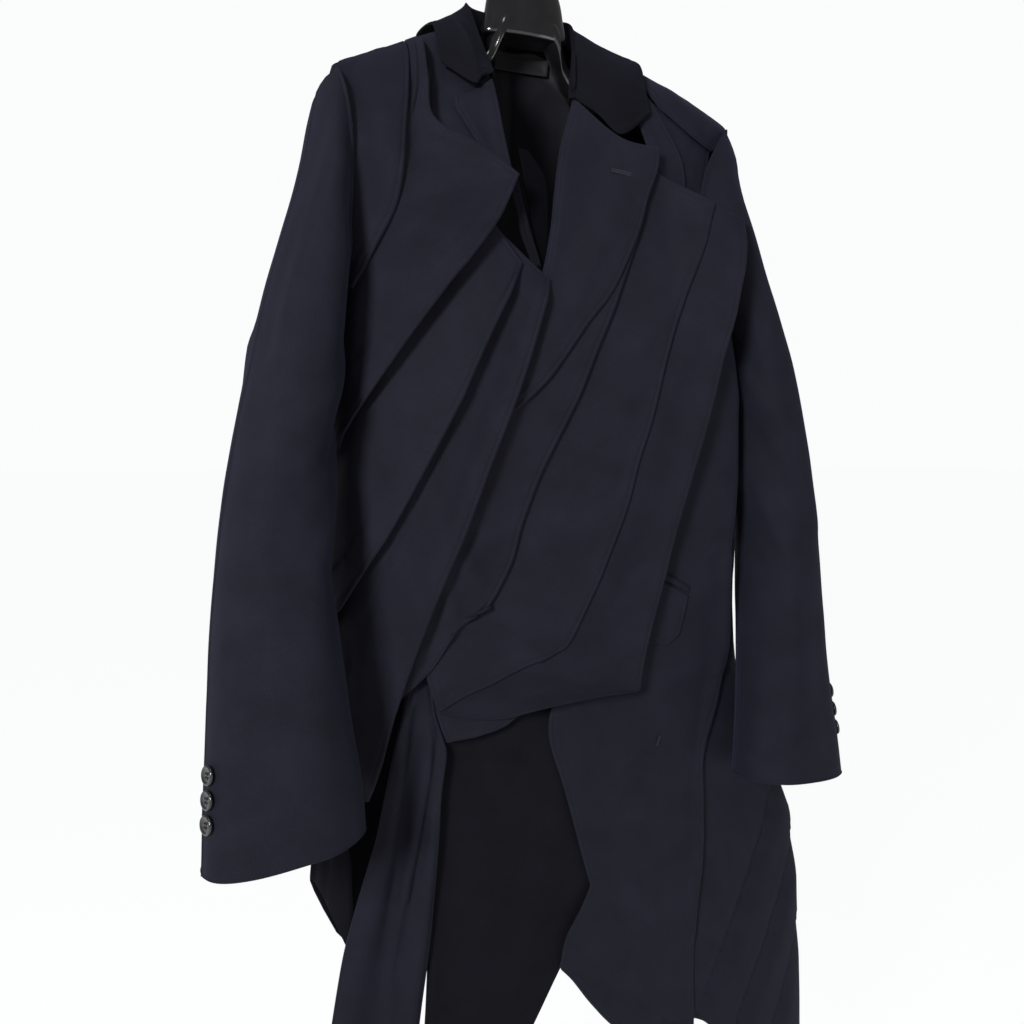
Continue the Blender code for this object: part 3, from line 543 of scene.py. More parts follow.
def lay(x, z, level, spread=0.0):
    """A point of the cloth: x across it, z its height, level the layers under it."""
    side = 1 if x > 0 else -1
    half, square = half_and_square(side, z)
    half = max(half, spread)
    run, start = side_run(side, z)
    past = abs(x) - BEND
    turned = 0.0
    ahead, aside = 1.0, 0.0
    if past <= 0 or spread:
        fall = math.sqrt(1 - min(0.9995, abs(x) / half) ** square)
    elif past <= run:
        angle = start * (1 - past / run)
        fall = math.sin(angle)
        x = side * half * math.cos(angle) ** (2 / square)
        ahead = min(1.0, 1.6 * fall / math.sin(start))
        aside = min(1.0, 1.6 * (1 - fall / math.sin(start)))
    else:
        turned = (past - run) / table(FORM, z, 4)
        fall = 0.0
        x = side * half * math.cos(turned) ** (2 / square)
        ahead, aside = 0.0, 1 - smooth(turned / 0.7)
    s = (ridge(x) - z) / SHOULDER_ROUND
    opened = min(1.0, max(0.0, s) / 0.5) ** 0.7
    pitch = LEVEL - (LEVEL - LEVEL_SIDE) * smooth((-x - 100) / 50.0)
    give = STACK * smooth((30 - x) / 190.0) * (1 - smooth(turned / 0.9))
    y = middle(x, z) - table(FORM, z, 3) * fall * dome(s)
    y += opened * (give - level * pitch * ahead + sum(hollow(x, z, h) for h in HOLLOWS))
    y += table(FORM, z, 4) * math.sin(turned)
    out = level if side > 0 else level - 7
    x += side * out * SIDE_STEP * aside * opened
    return Vector((x, y, z))


def back_ridge(x):
    return ridge(x) + BACK_NECK_RISE * (1 - smooth((abs(x) - 15) / 45.0))


def back_y(x, z, out=0.0):
    half, square = half_and_square(1 if x > 0 else -1, z)
    fall = math.sqrt(1 - min(0.9995, abs(x) / half) ** square)
    s = (back_ridge(x) - z) / BACK_ROUND
    return middle(x, z) + (table(FORM, z, 4) + out) * fall * dome(s)


def back_x_along(side, x, z):
    """The table x that lands on the back at this x."""
    half, square = half_and_square(side, z)
    turned = math.acos(min(1.0, abs(x) / half) ** (square / 2))
    return side * (BEND + side_run(side, z)[0] + turned * table(FORM, z, 4))


def spline(points, corners, t):
    """A smooth curve through points, with its tangents broken at the corners."""
    last = len(points) - 1
    i = min(last - 1, max(0, int(t)))
    t -= i

    def tangent(k, ahead):
        if k == 0:
            return points[1] - points[0]
        if k == last:
            return points[last] - points[last - 1]
        if k in corners:
            return points[k + 1] - points[k] if ahead else points[k] - points[k - 1]
        return (points[k + 1] - points[k - 1]) * 0.5

    p, q = points[i], points[i + 1]
    m, n = tangent(i, True), tangent(i + 1, False)
    t2, t3 = t * t, t * t * t
    return p * (2 * t3 - 3 * t2 + 1) + m * (t3 - 2 * t2 + t) + q * (3 * t2 - 2 * t3) + n * (t3 - t2)


def drape_shape(x, z, u, v):
    total = 0.0
    for top, bottom, wide, high in DRAPE_FOLDS:
        place = top + (bottom - top) * smooth(v)
        span = 30 + 45 * v
        total -= high * smooth(v * 4) * math.exp(-((u - place) * span / wide) ** 2)
    return total + 5 * smooth(v * 4)


def lifted_shape(x, z, u, v):
    """The outer layers' top corners lie forward, over the sleeve."""
    return -LIFT * smooth((x - 84) / 40.0) * smooth((z + 425) / 80.0)


def lapel_shape(roll):
    def shape(x, z, u, v):
        near = u if roll == "left" else 1 - u
        return -2.5 * math.exp(-(near / 0.22) ** 2) * (1 - v)
    return shape


def back_top(x):
    """The back's top edge: the neck, and the shoulder line either side."""
    return back_ridge(x) - 0.6 - BACK_NECK_SCOOP * (1 - smooth(abs(x) / 60.0))


def back_height(x, level):
    """Height of one of the back's cross lines: some above the armpit, the rest below."""
    if level <= BACK_UPPER:
        top = back_top(x)
        return top + (ARMPIT - top) * (level / BACK_UPPER) ** 1.5
    return ARMPIT + (table_x(BACK_HEM, x) - ARMPIT) * (level - BACK_UPPER) / BACK_LOWER


def table_x(rows, x):
    if x <= rows[0][0]:
        return rows[0][1]
    for a, b in zip(rows, rows[1:]):
        if x <= b[0]:
            return a[1] + (b[1] - a[1]) * (x - a[0]) / (b[0] - a[0])
    return rows[-1][1]


def shoulder_edge(p):
    """Where the back's top edge comes forward over the shoulder to the yokes' seam."""
    reach = smooth((abs(p.x) - 62) / 14.0)
    forward = min(0.0, table_x(SHOULDER_SEAM, p.x) - p.y)
    return Vector((p.x, p.y + forward * reach, p.z + 0.15 + 0.35 * reach))


def pleat_step(x, z):
    """Height of the knife pleats at a place on the left side's front."""
    height = 0.0
    for x0, z0, x1, z1, deep in PLEATS:
        slope = (x1 - x0) / (z1 - z0)
        line = x0 + (z - z0) * slope
        fade = smooth((-640 - z) / 200.0)
        past = (x - line) / 26.0
        height += deep * fade * (smooth((past + 0.12) / 0.12) - smooth(past))
    return height


def sleeve_point(rows, t, degrees, saddles=(0, 0)):
    columns = [spline([Vector((row[2 * k], row[2 * k + 1], 0)) for row in rows], set(), t)
               for k in range(3)]
    outer = Vector((columns[0].x, 0, columns[0].y))
    inner = Vector((columns[1].x, 0, columns[1].y))
    y, deep = columns[2].x, columns[2].y
    centre = (outer + inner) / 2
    half = (outer - inner) / 2
    a = math.radians(degrees)
    c, s = math.cos(a), math.sin(a)
    power = 2 / 2.35
    c2 = math.copysign(abs(c) ** power, c)
    s2 = math.copysign(abs(s) ** power, s)
    p = centre + half * s2
    p.y = y + deep * c2
    saddle = saddles[0] if c < 0 else saddles[1]
    p.x -= math.copysign(saddle, p.x) * (c * c) * max(0.0, 1 - t / 7.0) ** 2
    return p


def frame_at(rows, t, degrees):
    """Place and outward direction on a sleeve."""
    p = sleeve_point(rows, t, degrees)
    across = sleeve_point(rows, t, degrees + 2) - sleeve_point(rows, t, degrees - 2)
    along = sleeve_point(rows, t + 0.05, degrees) - sleeve_point(rows, t - 0.05, degrees)
    out = across.cross(along).normalized()
    if out.x * p.x < 0:
        out.negate()
    return p, out


# ---------------------------------------------------------------- the scene

STEP = 4.5                 # spacing of the visible cloth's points, mm
EDGE = (0.0, 0.5, 1.2, 2.2, 3.1, 3.7, 4.3, 6.0, 9.0)   # columns beside an edge, mm
STITCH_IN = 3.7            # the edge stitching lies this far inside

# Creases and seams of each piece, in its table's own x and z: the points along
# it, half width, height (below zero is a trough).
CREASES = {
    "side_front_right": (
        (((-165, -215), (-160, -262), (-158, -320)), 10, -1.6),
        (((-186, -240), (-176, -300)), 9, 1.2),
    ),
    "layer_right_1": (
        (((-93, -311), (-125, -353), (-153, -394)), 11, -1.6),
        (((-57, -294), (-80, -317), (-104, -342), (-123, -365), (-144, -389),
          (-158, -405), (-178, -425), (-194, -442)), 1.5, -0.8),
        (((-122, -215), (-130, -262), (-136, -300)), 9, -1.2),
        (((-180, -392), (-186, -440), (-194, -480)), 8, 1.0),
    ),
    "layer_right_2": (
        (((-113, -370), (-130, -429), (-133, -474), (-156, -534)), 16, -2.0),
        (((-50, -355), (-64, -373), (-80, -398), (-93, -424), (-109, -450),
          (-120, -474), (-146, -517), (-181, -574), (-194, -589)), 1.5, -0.8),
        (((-182, -576), (-164, -585)), 1.1, -0.7),
        (((-176, -470), (-190, -530), (-198, -600)), 9, 1.1),
    ),
    "layer_right_3": (
        (((-106, -476), (-127, -528), (-135, -551), (-144, -579), (-154, -603),
          (-166, -636), (-178, -668)), 1.5, -0.8),
        (((-140, -545), (-135, -550)), 1.1, -0.7),
        (((-46, -372), (-84, -470), (-112, -545)), 8, 0.9),
        (((-180, -640), (-176, -700), (-168, -760)), 8, -1.3),
    ),
    "yoke_right": (
        (((-100, -185), (-98, -240)), 8, -1.0),
        (((-72, -240), (-92, -282)), 9, 0.9),
    ),
    "layer_centre": (
        (((-94, -582), (-77, -602)), 9, 2.6),
        (((-105, -597), (-99, -629)), 8, 2.4),
        (((-84, -560), (-104, -610), (-118, -664)), 6, -1.6),
        (((-122, -655), (-132, -684)), 5, 1.4),
        (((30, -330), (-20, -420), (-58, -520)), 14, -1.2),
    ),
    "layer_left_inner": (
        (((60, -472), (39, -531), (27, -560), (7, -599), (-6, -635), (-9, -661)), 1.4, -0.8),
        (((-86, -634), (-69, -636), (-47, -647), (-26, -662), (-20, -667)), 4, 1.8),
        (((-92, -646), (-70, -650), (-50, -662)), 6, -1.6),
        (((92, -330), (62, -420), (30, -510)), 15, 1.1),
    ),
    "layer_left_outer": (
        (((-25, -663), (-9, -664), (-5, -650), (-5, -636)), 1.6, -0.9),
        (((128, -360), (100, -450), (70, -560), (40, -640)), 13, -1.2),
        (((88, -600), (60, -670)), 10, 1.0),
    ),
    "crescent": (
        (((-100, -700), (-60, -712), (-40, -709)), 4, 0.9),
    ),
    "skirt_centre": (
        (((-67, -732), (-80, -757)), 1.2, -0.9),
        (((-10, -715), (-21, -742), (-41, -784), (-67, -829)), 1.3, -0.9),
        (((-72, -754), (-32, -758)), 6, 1.5),
        (((-60, -720), (-84, -840), (-90, -980)), 18, -2.0),
        (((10, -740), (-6, -860), (-40, -1000)), 16, 1.6),
    ),
    "skirt_left": (
        (((162, -594), (168, -678), (160, -712), (150, -771), (148, -870), (140, -940)), 6, 1.8),
        (((150, -600), (152, -700), (138, -800)), 9, -1.3),
        (((101, -888), (73, -940), (47, -983)), 1.5, -0.5),
        (((101, -749), (98, -756)), 1.3, -1.1),
        (((88, -773), (77, -795)), 1.2, -1.3),
        (((112, -1008), (109, -1017), (134, -1021)), 1.5, -0.6),
        (((60, -700), (44, -800), (70, -900)), 22, -2.2),
        (((104, -800), (92, -900), (104, -1000)), 17, 1.8),
        (((140, -420), (130, -520), (112, -600)), 16, -1.4),
        (((20, -720), (24, -800)), 9, 1.2),
    ),
    "yoke_left": (
        (((101, -210), (105, -216)), 1.3, -1.0),
        (((120, -186), (134, -214)), 8, -0.8),
    ),
    "front_left_upper": (
        (((109, -212), (103, -226)), 1.3, -1.1),
        (((137, -227), (120, -254)), 1.3, -1.1),
        (((103, -226), (98, -250)), 6, 1.0),
        (((120, -254), (116, -284)), 7, 1.0),
    ),
    "layer_left_top": (
        (((80, -170), (92, -226), (108, -280)), 8, -0.9),
    ),
    "pocket_flap": (
        (((104, -628), (98, -656)), 7, -0.6),
    ),
    "drape_fold": (
        (((-122, -690), (-132, -730), (-142, -790), (-152, -845), (-163, -905), (-172, -965),
          (-178, -1050)), 8, 3.4),
        (((-121, -706), (-126, -768), (-133, -831), (-143, -894), (-150, -962), (-156, -1050)), 6, -3.6),
        (((-108, -725), (-111, -765), (-118, -800), (-130, -860)), 5, 2.6),
        (((-104, -725), (-106, -762), (-112, -795), (-122, -850), (-136, -930)), 3.5, -2.4),
        (((-98, -740), (-104, -800), (-112, -870), (-122, -960), (-130, -1040)), 5, 2.4),
    ),
    "lapel_left": (
        (((30, -262), (8, -310), (-14, -352)), 10, -0.8),
        (((62, -262), (40, -300), (14, -350), (-20, -405)), 8, 0.8),
    ),
    "lapel_right": (
        (((-76, -232), (-66, -270)), 7, -0.7),
    ),
    "back_left": (
        (((20, -200), (46, -330), (60, -470)), 26, -2.6),
        (((96, -250), (84, -420), (100, -600)), 24, 2.0),
        (((60, -600), (72, -760), (110, -950)), 26, -3.2),
        (((130, -500), (142, -700), (176, -900)), 20, 2.4),
        (((120, -230), (140, -330)), 12, -2.0),
    ),
    "back_right": (
        (((-24, -210), (-52, -350), (-62, -500)), 25, -2.2),
        (((-104, -260), (-96, -430), (-104, -610)), 22, 2.2),
        (((-70, -620), (-86, -760), (-104, -900)), 24, -2.8),
        (((-128, -560), (-132, -720), (-150, -850)), 18, 2.0),
        (((-126, -232), (-146, -320)), 12, -1.8),
    ),
    "side_left": (
        (((200, -430), (196, -560), (206, -690)), 16, -1.8),
        (((176, -480), (176, -600)), 10, 1.4),
    ),
    "side_right": (
        (((-210, -430), (-208, -600), (-204, -760)), 13, -1.6),
        (((-224, -640), (-216, -800)), 10, 1.4),
    ),
}
# Soft rolls of the whole front, taken by every layer of it
ROLLS = (
    (((-60, -300), (-110, -420), (-150, -560)), 28, 3.2),
    (((20, -420), (-20, -520), (-60, -600)), 24, -3.0),
    (((110, -420), (70, -520), (30, -600)), 22, 2.7),
    (((150, -470), (120, -560)), 20, -2.4),
)
# Layers whose free edge stands off the layer below: tilt, lift at the edge and its reach
LIFTED = {
    "layer_right_1": (4.0, 5.0, 12),
    "layer_right_2": (3.2, 4.2, 12),
    "layer_right_3": (3.0, 4.0, 12),
    "layer_left_outer": (4.0, 4.5, 13),
}
# How far the sleeve head lies back onto the body at the front and reaches back behind,
# and how far its crown sinks
REACH = 12.0
HUG = {"right": 2.0, "left": 9.0}
CROWN_SINK, CROWN_IN = 2.5, 5.0
LAP = 1.4                  # how far one side of a sewn seam lies under the other, mm
# Sleeve folds: degrees round (90 outer edge, 180 front, 270 inner) and z
SLEEVE_CREASES = {
    "right": (
        (((262, -420), (225, -455), (185, -468)), 11, -2.4),
        (((268, -455), (228, -498), (190, -520)), 12, 2.2),
        (((270, -500), (232, -548), (205, -575)), 12, -2.4),
        (((266, -560), (240, -606)), 12, 1.8),
        (((150, -300), (146, -420), (150, -560)), 15, -1.6),
        (((120, -260), (118, -420)), 12, 1.4),
        (((205, -610), (196, -700), (200, -775)), 15, -1.8),
        (((160, -640), (150, -760)), 14, 1.5),
        (((60, -420), (20, -470), (-30, -500)), 13, -2.2),
        (((50, -470), (10, -520)), 13, 2.0),
        (((184, -250), (200, -330)), 13, 1.6),
    ),
    "left": (
        (((262, -420), (228, -452), (190, -470)), 10, -2.2),
        (((266, -462), (230, -500), (196, -522)), 11, 2.0),
        (((268, -512), (236, -556), (210, -586)), 11, -2.0),
        (((150, -300), (150, -420), (158, -560)), 14, -1.5),
        (((122, -260), (124, -430)), 12, 1.3),
        (((206, -620), (198, -700), (206, -780)), 13, -1.6),
        (((168, -640), (160, -770)), 13, 1.4),
        (((60, -420), (24, -470), (-24, -500)), 12, -2.0),
        (((56, -480), (16, -524)), 12, 1.8),
    ),
}

PIECES = {}


def distance_along(x, z, points):
    best = 1e9
    for (ax, az), (bx, bz) in zip(points, points[1:]):
        dx, dz = bx - ax, bz - az
        t = ((x - ax) * dx + (z - az) * dz) / (dx * dx + dz * dz)
        t = min(1.0, max(0.0, t))
        best = min(best, (x - ax - t * dx) ** 2 + (z - az - t * dz) ** 2)
    return best


def crease_height(x, z, rows):
    total = 0.0
    for points, wide, high in rows:
        far = distance_along(x, z, points)
        if far < 9 * wide * wide:
            total += high * math.exp(-far / (wide * wide))
    return total


def wobble(x, z, seed=0.0):
    """The small unevenness of hanging wool."""
    return (1.1 * noise.noise(Vector((x * 0.013, z * 0.009, seed)))
            + 0.35 * noise.noise(Vector((x * 0.04, z * 0.028, seed + 7))))


def edge_height(d):
    """A folded and stitched edge: rolled under, a stitched line, then the turning."""
    roll = -1.1 * (1 - min(1.0, d / 1.8)) ** 2
    groove = -0.55 * math.exp(-((d - STITCH_IN) / 0.7) ** 2)
    turning = 0.45 * smooth(d / 1.5) * (1 - smooth((d - 7.0) / 3.5))
    return roll + groove + turning


def seam_height(d):
    return -0.9 * (1 - min(1.0, d / 1.7)) ** 2


def stations(length, start, stop, step=STEP):
    """Distances along a length, closer together beside a finished end."""
    first = [e for e in EDGE if e < length * 0.4] if start else [0.0]
    last = [length - e for e in EDGE if e < length * 0.4][::-1] if stop else [length]
    gap = last[0] - first[-1]
    count = max(1, round(gap / step))
    return first + [first[-1] + gap * k / count for k in range(1, count)] + last


def shell(name, points, heights, look, flip=False, thick=CLOTH):
    """A sheet of cloth from a grid of points in mm, pushed out along its normals."""
    P = np.array([[(p.x, p.y, p.z) for p in row] for row in points])
    H = np.array(heights)
    down = np.gradient(P, axis=0)
    right = np.gradient(P, axis=1)
    normal = np.cross(down, right)
    length = np.linalg.norm(normal, axis=2, keepdims=True)
    normal /= np.maximum(length, 1e-9)
    if flip:
        normal = -normal
    flat_area = 0.0
    a = np.cross(P[1:, :-1] - P[:-1, :-1], P[:-1, 1:] - P[:-1, :-1])
    b = np.cross(P[1:, :-1] - P[1:, 1:], P[:-1, 1:] - P[1:, 1:])
    flat_area = float(np.linalg.norm(a, axis=2).sum() + np.linalg.norm(b, axis=2).sum()) / 2e6
    along_u = np.linalg.norm(np.diff(P, axis=1), axis=2).cumsum(axis=1)
    along_u = np.concatenate([np.zeros((len(P), 1)), along_u], axis=1)
    along_v = np.linalg.norm(np.diff(P, axis=0), axis=2).cumsum(axis=0)
    along_v = np.concatenate([np.zeros((1, P.shape[1])), along_v], axis=0)
    wide, tall = float(along_u[:, -1].max()), float(along_v[-1].max())
    middle_column = along_v[:, P.shape[1] // 2][:, None]
    U = np.stack([along_u - along_u[:, -1:] / 2, -np.broadcast_to(middle_column, along_u.shape)], axis=2)
    Q = (P + normal * H[:, :, None]) * MM
    rows, columns = P.shape[:2]
    index = np.arange(rows * columns).reshape(rows, columns)
    corners = [index[:-1, :-1], index[1:, :-1], index[1:, 1:], index[:-1, 1:]]
    if flip:
        corners = corners[::-1]
    faces = np.stack(corners, axis=2).reshape(-1, 4)
    mesh = bpy.data.meshes.new(name)
    mesh.from_pydata(Q.reshape(-1, 3).tolist(), [], faces.tolist())
    layer = mesh.uv_layers.new(name="cloth")
    layer.data.foreach_set("uv", (U.reshape(-1, 2)[faces.reshape(-1)] * MM).ravel())
    made = bpy.data.objects.new(name, mesh)
    bpy.context.scene.collection.objects.link(made)
    mesh.materials.append(look)
    mesh.shade_smooth()
    wall = made.modifiers.new("wall", "SOLIDIFY")
    wall.thickness = thick
    wall.offset = -1
    wall.use_rim = True
    made["cut"] = (wide * MM, tall * MM, flat_area)
    return made


def stands_for(piece, node, sheet=True):
    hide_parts(node)
    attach(piece, "root")
    if sheet:
        wide, tall, area = piece["cut"]
        wide, tall = max(wide, 0.011), max(tall, 0.011)
        share = min(1.0, area / (wide * tall))
        if share < 0.31:
            wide *= share / 0.31
    PIECES[node] = piece
    return piece


def dense_panel(node, spec, look, shape=None, roll=None):
    """The panel's own loft, in small steps, with its edges, creases and seams."""
    rows = spec["rows"]
    count = (len(rows[0]) - 1) // 2
    rails = [[Vector((row[2 * k], 0, row[2 * k + 1])) for row in rows] for k in range(count)]
    corners = [set(), set()]
    for i, row in enumerate(rows):
        if "l" in row[-1]:
            corners[0].add(i)
        if "r" in row[-1]:
            corners[1].add(i)
    sharp = [corners[0]] + [set()] * (count - 2) + [corners[1]]
    last = len(rows) - 1
    fine = 24
    marks = [(i / fine) for i in range(last * fine + 1)]
    mids = [(spline(rails[0], sharp[0], t) + spline(rails[-1], sharp[-1], t)) / 2 for t in marks]
    run = [0.0]
    for a, b in zip(mids, mids[1:]):
        run.append(run[-1] + (b - a).length)
    widest = max((rails[-1][i] - rails[0][i]).length for i in range(last + 1))
    inner = max(3, round((widest - 2 * EDGE[-1]) / STEP))
    creases = CREASES.get(node, ())
    points, heights = [], []
    for s in stations(run[-1], True, True):
        t = float(np.interp(s, run, marks))
        ends = [spline(rail, sharp[k], t) for k, rail in enumerate(rails)]
        across = ends[-1] - ends[0]
        width = max(0.5, across.length)
        turn = []
        for k in (0, -1):
            a = spline(rails[k], sharp[k], max(0, t - 0.08))
            b = spline(rails[k], sharp[k], min(last, t + 0.08))
            along = b - a
            turn.append(max(0.45, abs(across.cross(along).length / (width * max(1e-6, along.length)))))
        left = [e / turn[0] for e in EDGE]
        right = [e / turn[1] for e in EDGE]
        squeeze = min(1.0, 0.46 * width / left[-1], 0.46 * width / right[-1])
        places = [(e * squeeze / width, d * squeeze) for e, d in zip(left, EDGE)]
        a, b = places[-1][0], 1 - right[-1] * squeeze / width
        places += [(a + (b - a) * k / inner, 99.0) for k in range(1, inner)]
        places += [(1 - e * squeeze / width, d * squeeze) for e, d in zip(right[::-1], EDGE[::-1])]
        ending = min(s, run[-1] - s)
        line, high = [], []
        for u, d in places:
            k = min(count - 2, int(u * (count - 1)))
            if count == 3:
                q = spline(ends, set(), u * 2)
            else:
                q = ends[k].lerp(ends[k + 1], u * (count - 1) - k)
            p = lay(q.x, q.z, spec["level"], spec.get("spread", 0.0))
            if shape:
                p.y += shape(p.x, p.z, u, t / last)
            line.append(p)
            h = edge_height(min(d, ending)) + 1.45 * crease_height(q.x, q.z, creases) * min(1.0, width / 25)
            h += crease_height(q.x, q.z, ROLLS) + wobble(q.x, q.z)
            if node in LIFTED:
                tilt, high_edge, broad = LIFTED[node]
                free = (1 - u) * width
                h += (tilt * smooth(u) + high_edge * math.exp(-(free / broad) ** 2)) * smooth(s / 30) \
                    * smooth((run[-1] - s) / 40)
            if node == "facing_left":
                h *= 0.2
            if roll:
                near = u * width if roll == "left" else (1 - u) * width
                h -= 2.6 * (1 - math.sqrt(1 - (1 - min(1.0, near / 5.0)) ** 2))
            high.append(h)
        points.append(line)
        heights.append(high)
    return stands_for(shell("cloth_" + node, points, heights, look), node)


def dense_back(node, side, look):
    wide = 168.0
    columns = [c / wide for c in stations(wide, True, False, 6.0)]
    levels = [-1.0, -0.9, -0.75, -0.6, -0.45, -0.3, -0.15]
    for i in range(BACK_UPPER + BACK_LOWER):
        levels += [i + k / 8 for k in range(8)]
    levels += [BACK_UPPER + BACK_LOWER - e for e in (0.10, 0.07, 0.045, 0.02, 0.01, 0.0)]
    points, heights = [], []
    for i in levels:
        line, high = [], []
        hem = (BACK_UPPER + BACK_LOWER - i) * 52.0
        for u in columns:
            inner = -side * LAP / 4
            z = -600.0
            for _ in range(8):
                edge = table(BACK_SIDE, z, 1 if side < 0 else 2)
                x = inner + (edge - inner) * u
                z = back_height(x, max(i, 0))
            p = Vector((x, back_y(x, z), z))
            if i < 0:
                p = p.lerp(shoulder_edge(p), -i)
            line.append(p)
            d = min(u, 1 - u) * abs(edge - inner)
            high.append(seam_height(min(d, hem)) + crease_height(x, z, CREASES[node])
                        + wobble(x, z, 20) - 0.25 * math.exp(-((hem - 34) / 2.0) ** 2))
        points.append(line)
        heights.append(high)
    return stands_for(shell("cloth_" + node, points, heights, look, flip=side > 0), node)


def dense_side(node, rows, side, look, columns, pleated=False):
    points, heights = [], []
    levels = [k / 9 for k in range(BACK_LOWER * 9)]
    levels += [BACK_LOWER - e for e in (0.09, 0.06, 0.04, 0.02, 0.01, 0.0)]
    for i in levels:
        line, high = [], []
        hem = (BACK_LOWER - i) * 52.0
        for j in range(columns + 1):
            u = j / columns
            z = -600.0
            for _ in range(7):
                front = table(rows, z, 1)
                back = back_x_along(side, table(BACK_SIDE, z, 1 if side < 0 else 2), z)
                along = front + (back + side * LAP - front) * u
                z = back_height(lay(along, z, 0).x, i + BACK_UPPER)
            level = table(rows, z, 2)
            if pleated:
                level -= pleat_step(lay(along, z, 0).x, z) / LEVEL * smooth((1 - u) / 0.3)
            line.append(lay(along, z, level))
            d = (1 - u) * abs(back - front)
            high.append(seam_height(min(d, hem)) + crease_height(along, z, CREASES[node]) + wobble(along, z, 11))
        points.append(line)
        heights.append(high)
    return stands_for(shell("cloth_" + node, points, heights, look, flip=side < 0), node)


def dense_sleeve(side, part, rows, start, stop, look):
    node = f"sleeve_{side}_{part}"
    saddles = SADDLES[side]
    spare = -0.35
    per_mm = 1.25                     # degrees round for each mm of cloth
    wide = (stop - start - 2 * spare) / per_mm
    columns = [start + spare + c * per_mm for c in stations(wide, True, True, 4.5)]
    last = len(rows) - 1
    fine = 12
    marks = [i / fine for i in range(last * fine + 1)]
    run = [0.0]
    for a, b in zip(marks, marks[1:]):
        run.append(run[-1] + (sleeve_point(rows, b, 180) - sleeve_point(rows, a, 180)).length)
    points, heights = [], []
    for s in stations(run[-1], True, True, 5.0):
        t = float(np.interp(s, run, marks))
        line, high = [], []
        for a in columns:
            p = sleeve_point(rows, t, a, saddles)
            head = max(0.0, 1 - t / 4.0) ** 2
            turn = math.radians(a)
            p.y += (HUG[side] * max(0.0, -math.cos(turn)) + REACH * max(0.0, math.cos(turn))) * head
            crown = max(0.0, math.sin(turn)) ** 4 * max(0.0, 1 - t / 1.5)
            p.z -= CROWN_SINK * crown
            p.x -= math.copysign(CROWN_IN * crown, p.x)
            line.append(p)
            d = min(a - start, stop - a) / per_mm
            cuff = run[-1] - s
            h = seam_height(min(d, cuff))
            h += 0.6 * smooth(s / 4.0) * (1 - smooth((s - 8) / 14.0)) - 1.2 * (1 - smooth(s / 3.5))
            h += -0.3 * math.exp(-((cuff - 38) / 2.2) ** 2)
            for points_of, broad, tall in SLEEVE_CREASES[side]:
                near = min(distance_along(b * 0.8, p.z, [(q * 0.8, w) for q, w in points_of])
                           for b in (a, a - 360) if abs(b - points_of[0][0]) < 200)\
                    if any(abs(b - points_of[0][0]) < 200 for b in (a, a - 360)) else 1e9
                if near < 9 * broad * broad:
                    h += 1.3 * tall * math.exp(-near / (broad * broad))
            h += wobble(a * 0.8, p.z, 31 if side == "right" else 47)
            high.append(h)
        points.append(line)
        heights.append(high)
    return stands_for(shell("cloth_" + node, points, heights, look, flip=rows[0][0] < 0), node)


def dense_collar(look):
    stations_of = []
    for outer, mid, fold, foot in COLLAR:
        outer, mid, fold, foot = (Vector(p) for p in (outer, mid, fold, foot))
        side = mid - foot
        side.z = 0
        side.normalize()
        stations_of.append([
            outer, mid,
            mid.lerp(fold, 0.55) + side * 2.0,
            fold + side * FOLD_HALF - Vector((0, 0, 2.0)),
            fold + Vector((0, 0, 1.4)),
            fold - side * FOLD_HALF * 0.6 - Vector((0, 0, 2.0)),
            fold.lerp(foot, 0.55) - side * 0.5,
            foot,
        ])
    last = len(stations_of) - 1
    along = [0.0, 0.02, 0.05, 0.09, 0.13, 0.16, 0.2, 0.28, 0.38]
    along += [0.5 + k / 9 for k in range(int((last - 1) * 9) + 1)]
    along += [last - e for e in (0.38, 0.28, 0.2, 0.16, 0.13, 0.09, 0.05, 0.02, 0.0)]
    across = [0.0, 0.02, 0.05, 0.09, 0.13, 0.155, 0.18, 0.26, 0.4, 0.6, 0.8]
    across += [1 + k / 6 for k in range(37)]
    points, heights = [], []
    for t in along:
        knots = [spline([s[k] for s in stations_of], set(), t) for k in range(8)]
        ends = min(t, last - t) * 23.0
        line, high = [], []
        for u in across:
            p = spline(knots, set(), u)
            line.append(p)
            d = min(u * 24.0, ends)
            high.append((edge_height(d) if u < 3 else 0.0) + 0.5 * wobble(p.x, p.z + p.y, 61))
        points.append(line)
        heights.append(high)
    return stands_for(shell("cloth_collar", points, heights, look, flip=True), "collar")


def dense_lining(look):
    points, heights = [], []
    for i in range(61):
        v = i / 60
        half = LINING["half_top"] + (LINING["half_bottom"] - LINING["half_top"]) * v ** 0.7
        line, high = [], []
        for j in range(49):
            x = half * (2 * j / 48 - 1)
            top = back_top(x) - LINING["under_edge"]
            z = top + (LINING["bottom"] - top) * v ** 1.4
            line.append(Vector((x, back_y(x, z, -LINING["inset"]), z)))
            fold = 1.6 * math.exp(-(x / 5.0) ** 2) * smooth(v * 5)
            high.append(fold + 1.2 * wobble(x * 1.6, z * 1.3, 80))
        points.append(line)
        heights.append(high)
    return stands_for(shell("cloth_lining_back", points, heights, look, thick=0.001), "lining_back")


def dense_label(look):
    points, heights = [], []
    down = (0.0, 0.3, 0.8, 1.5, 3.0, 5.0, 6.5, 8.0, 10.0, 11.5, 12.2, 12.7, 13.0)
    for dz in down:
        line, high = [], []
        for j in range(41):
            z = LABEL["z"] - dz
            x = LABEL["x"] + LABEL["wide"] * (j / 40 - 0.5)
            line.append(Vector((x, back_y(x, z, -LINING["inset"]) - 4.2, z)))
            d = min(dz, LABEL["high"] - dz, LABEL["wide"] * min(j / 40, 1 - j / 40))
            high.append(0.5 * seam_height(d) + 0.25 * wobble(x * 3, z * 3, 90))
        points.append(line)
        heights.append(high)
    return stands_for(shell("cloth_label", points, heights, look, thick=LABEL["thick"] * MM), "label")


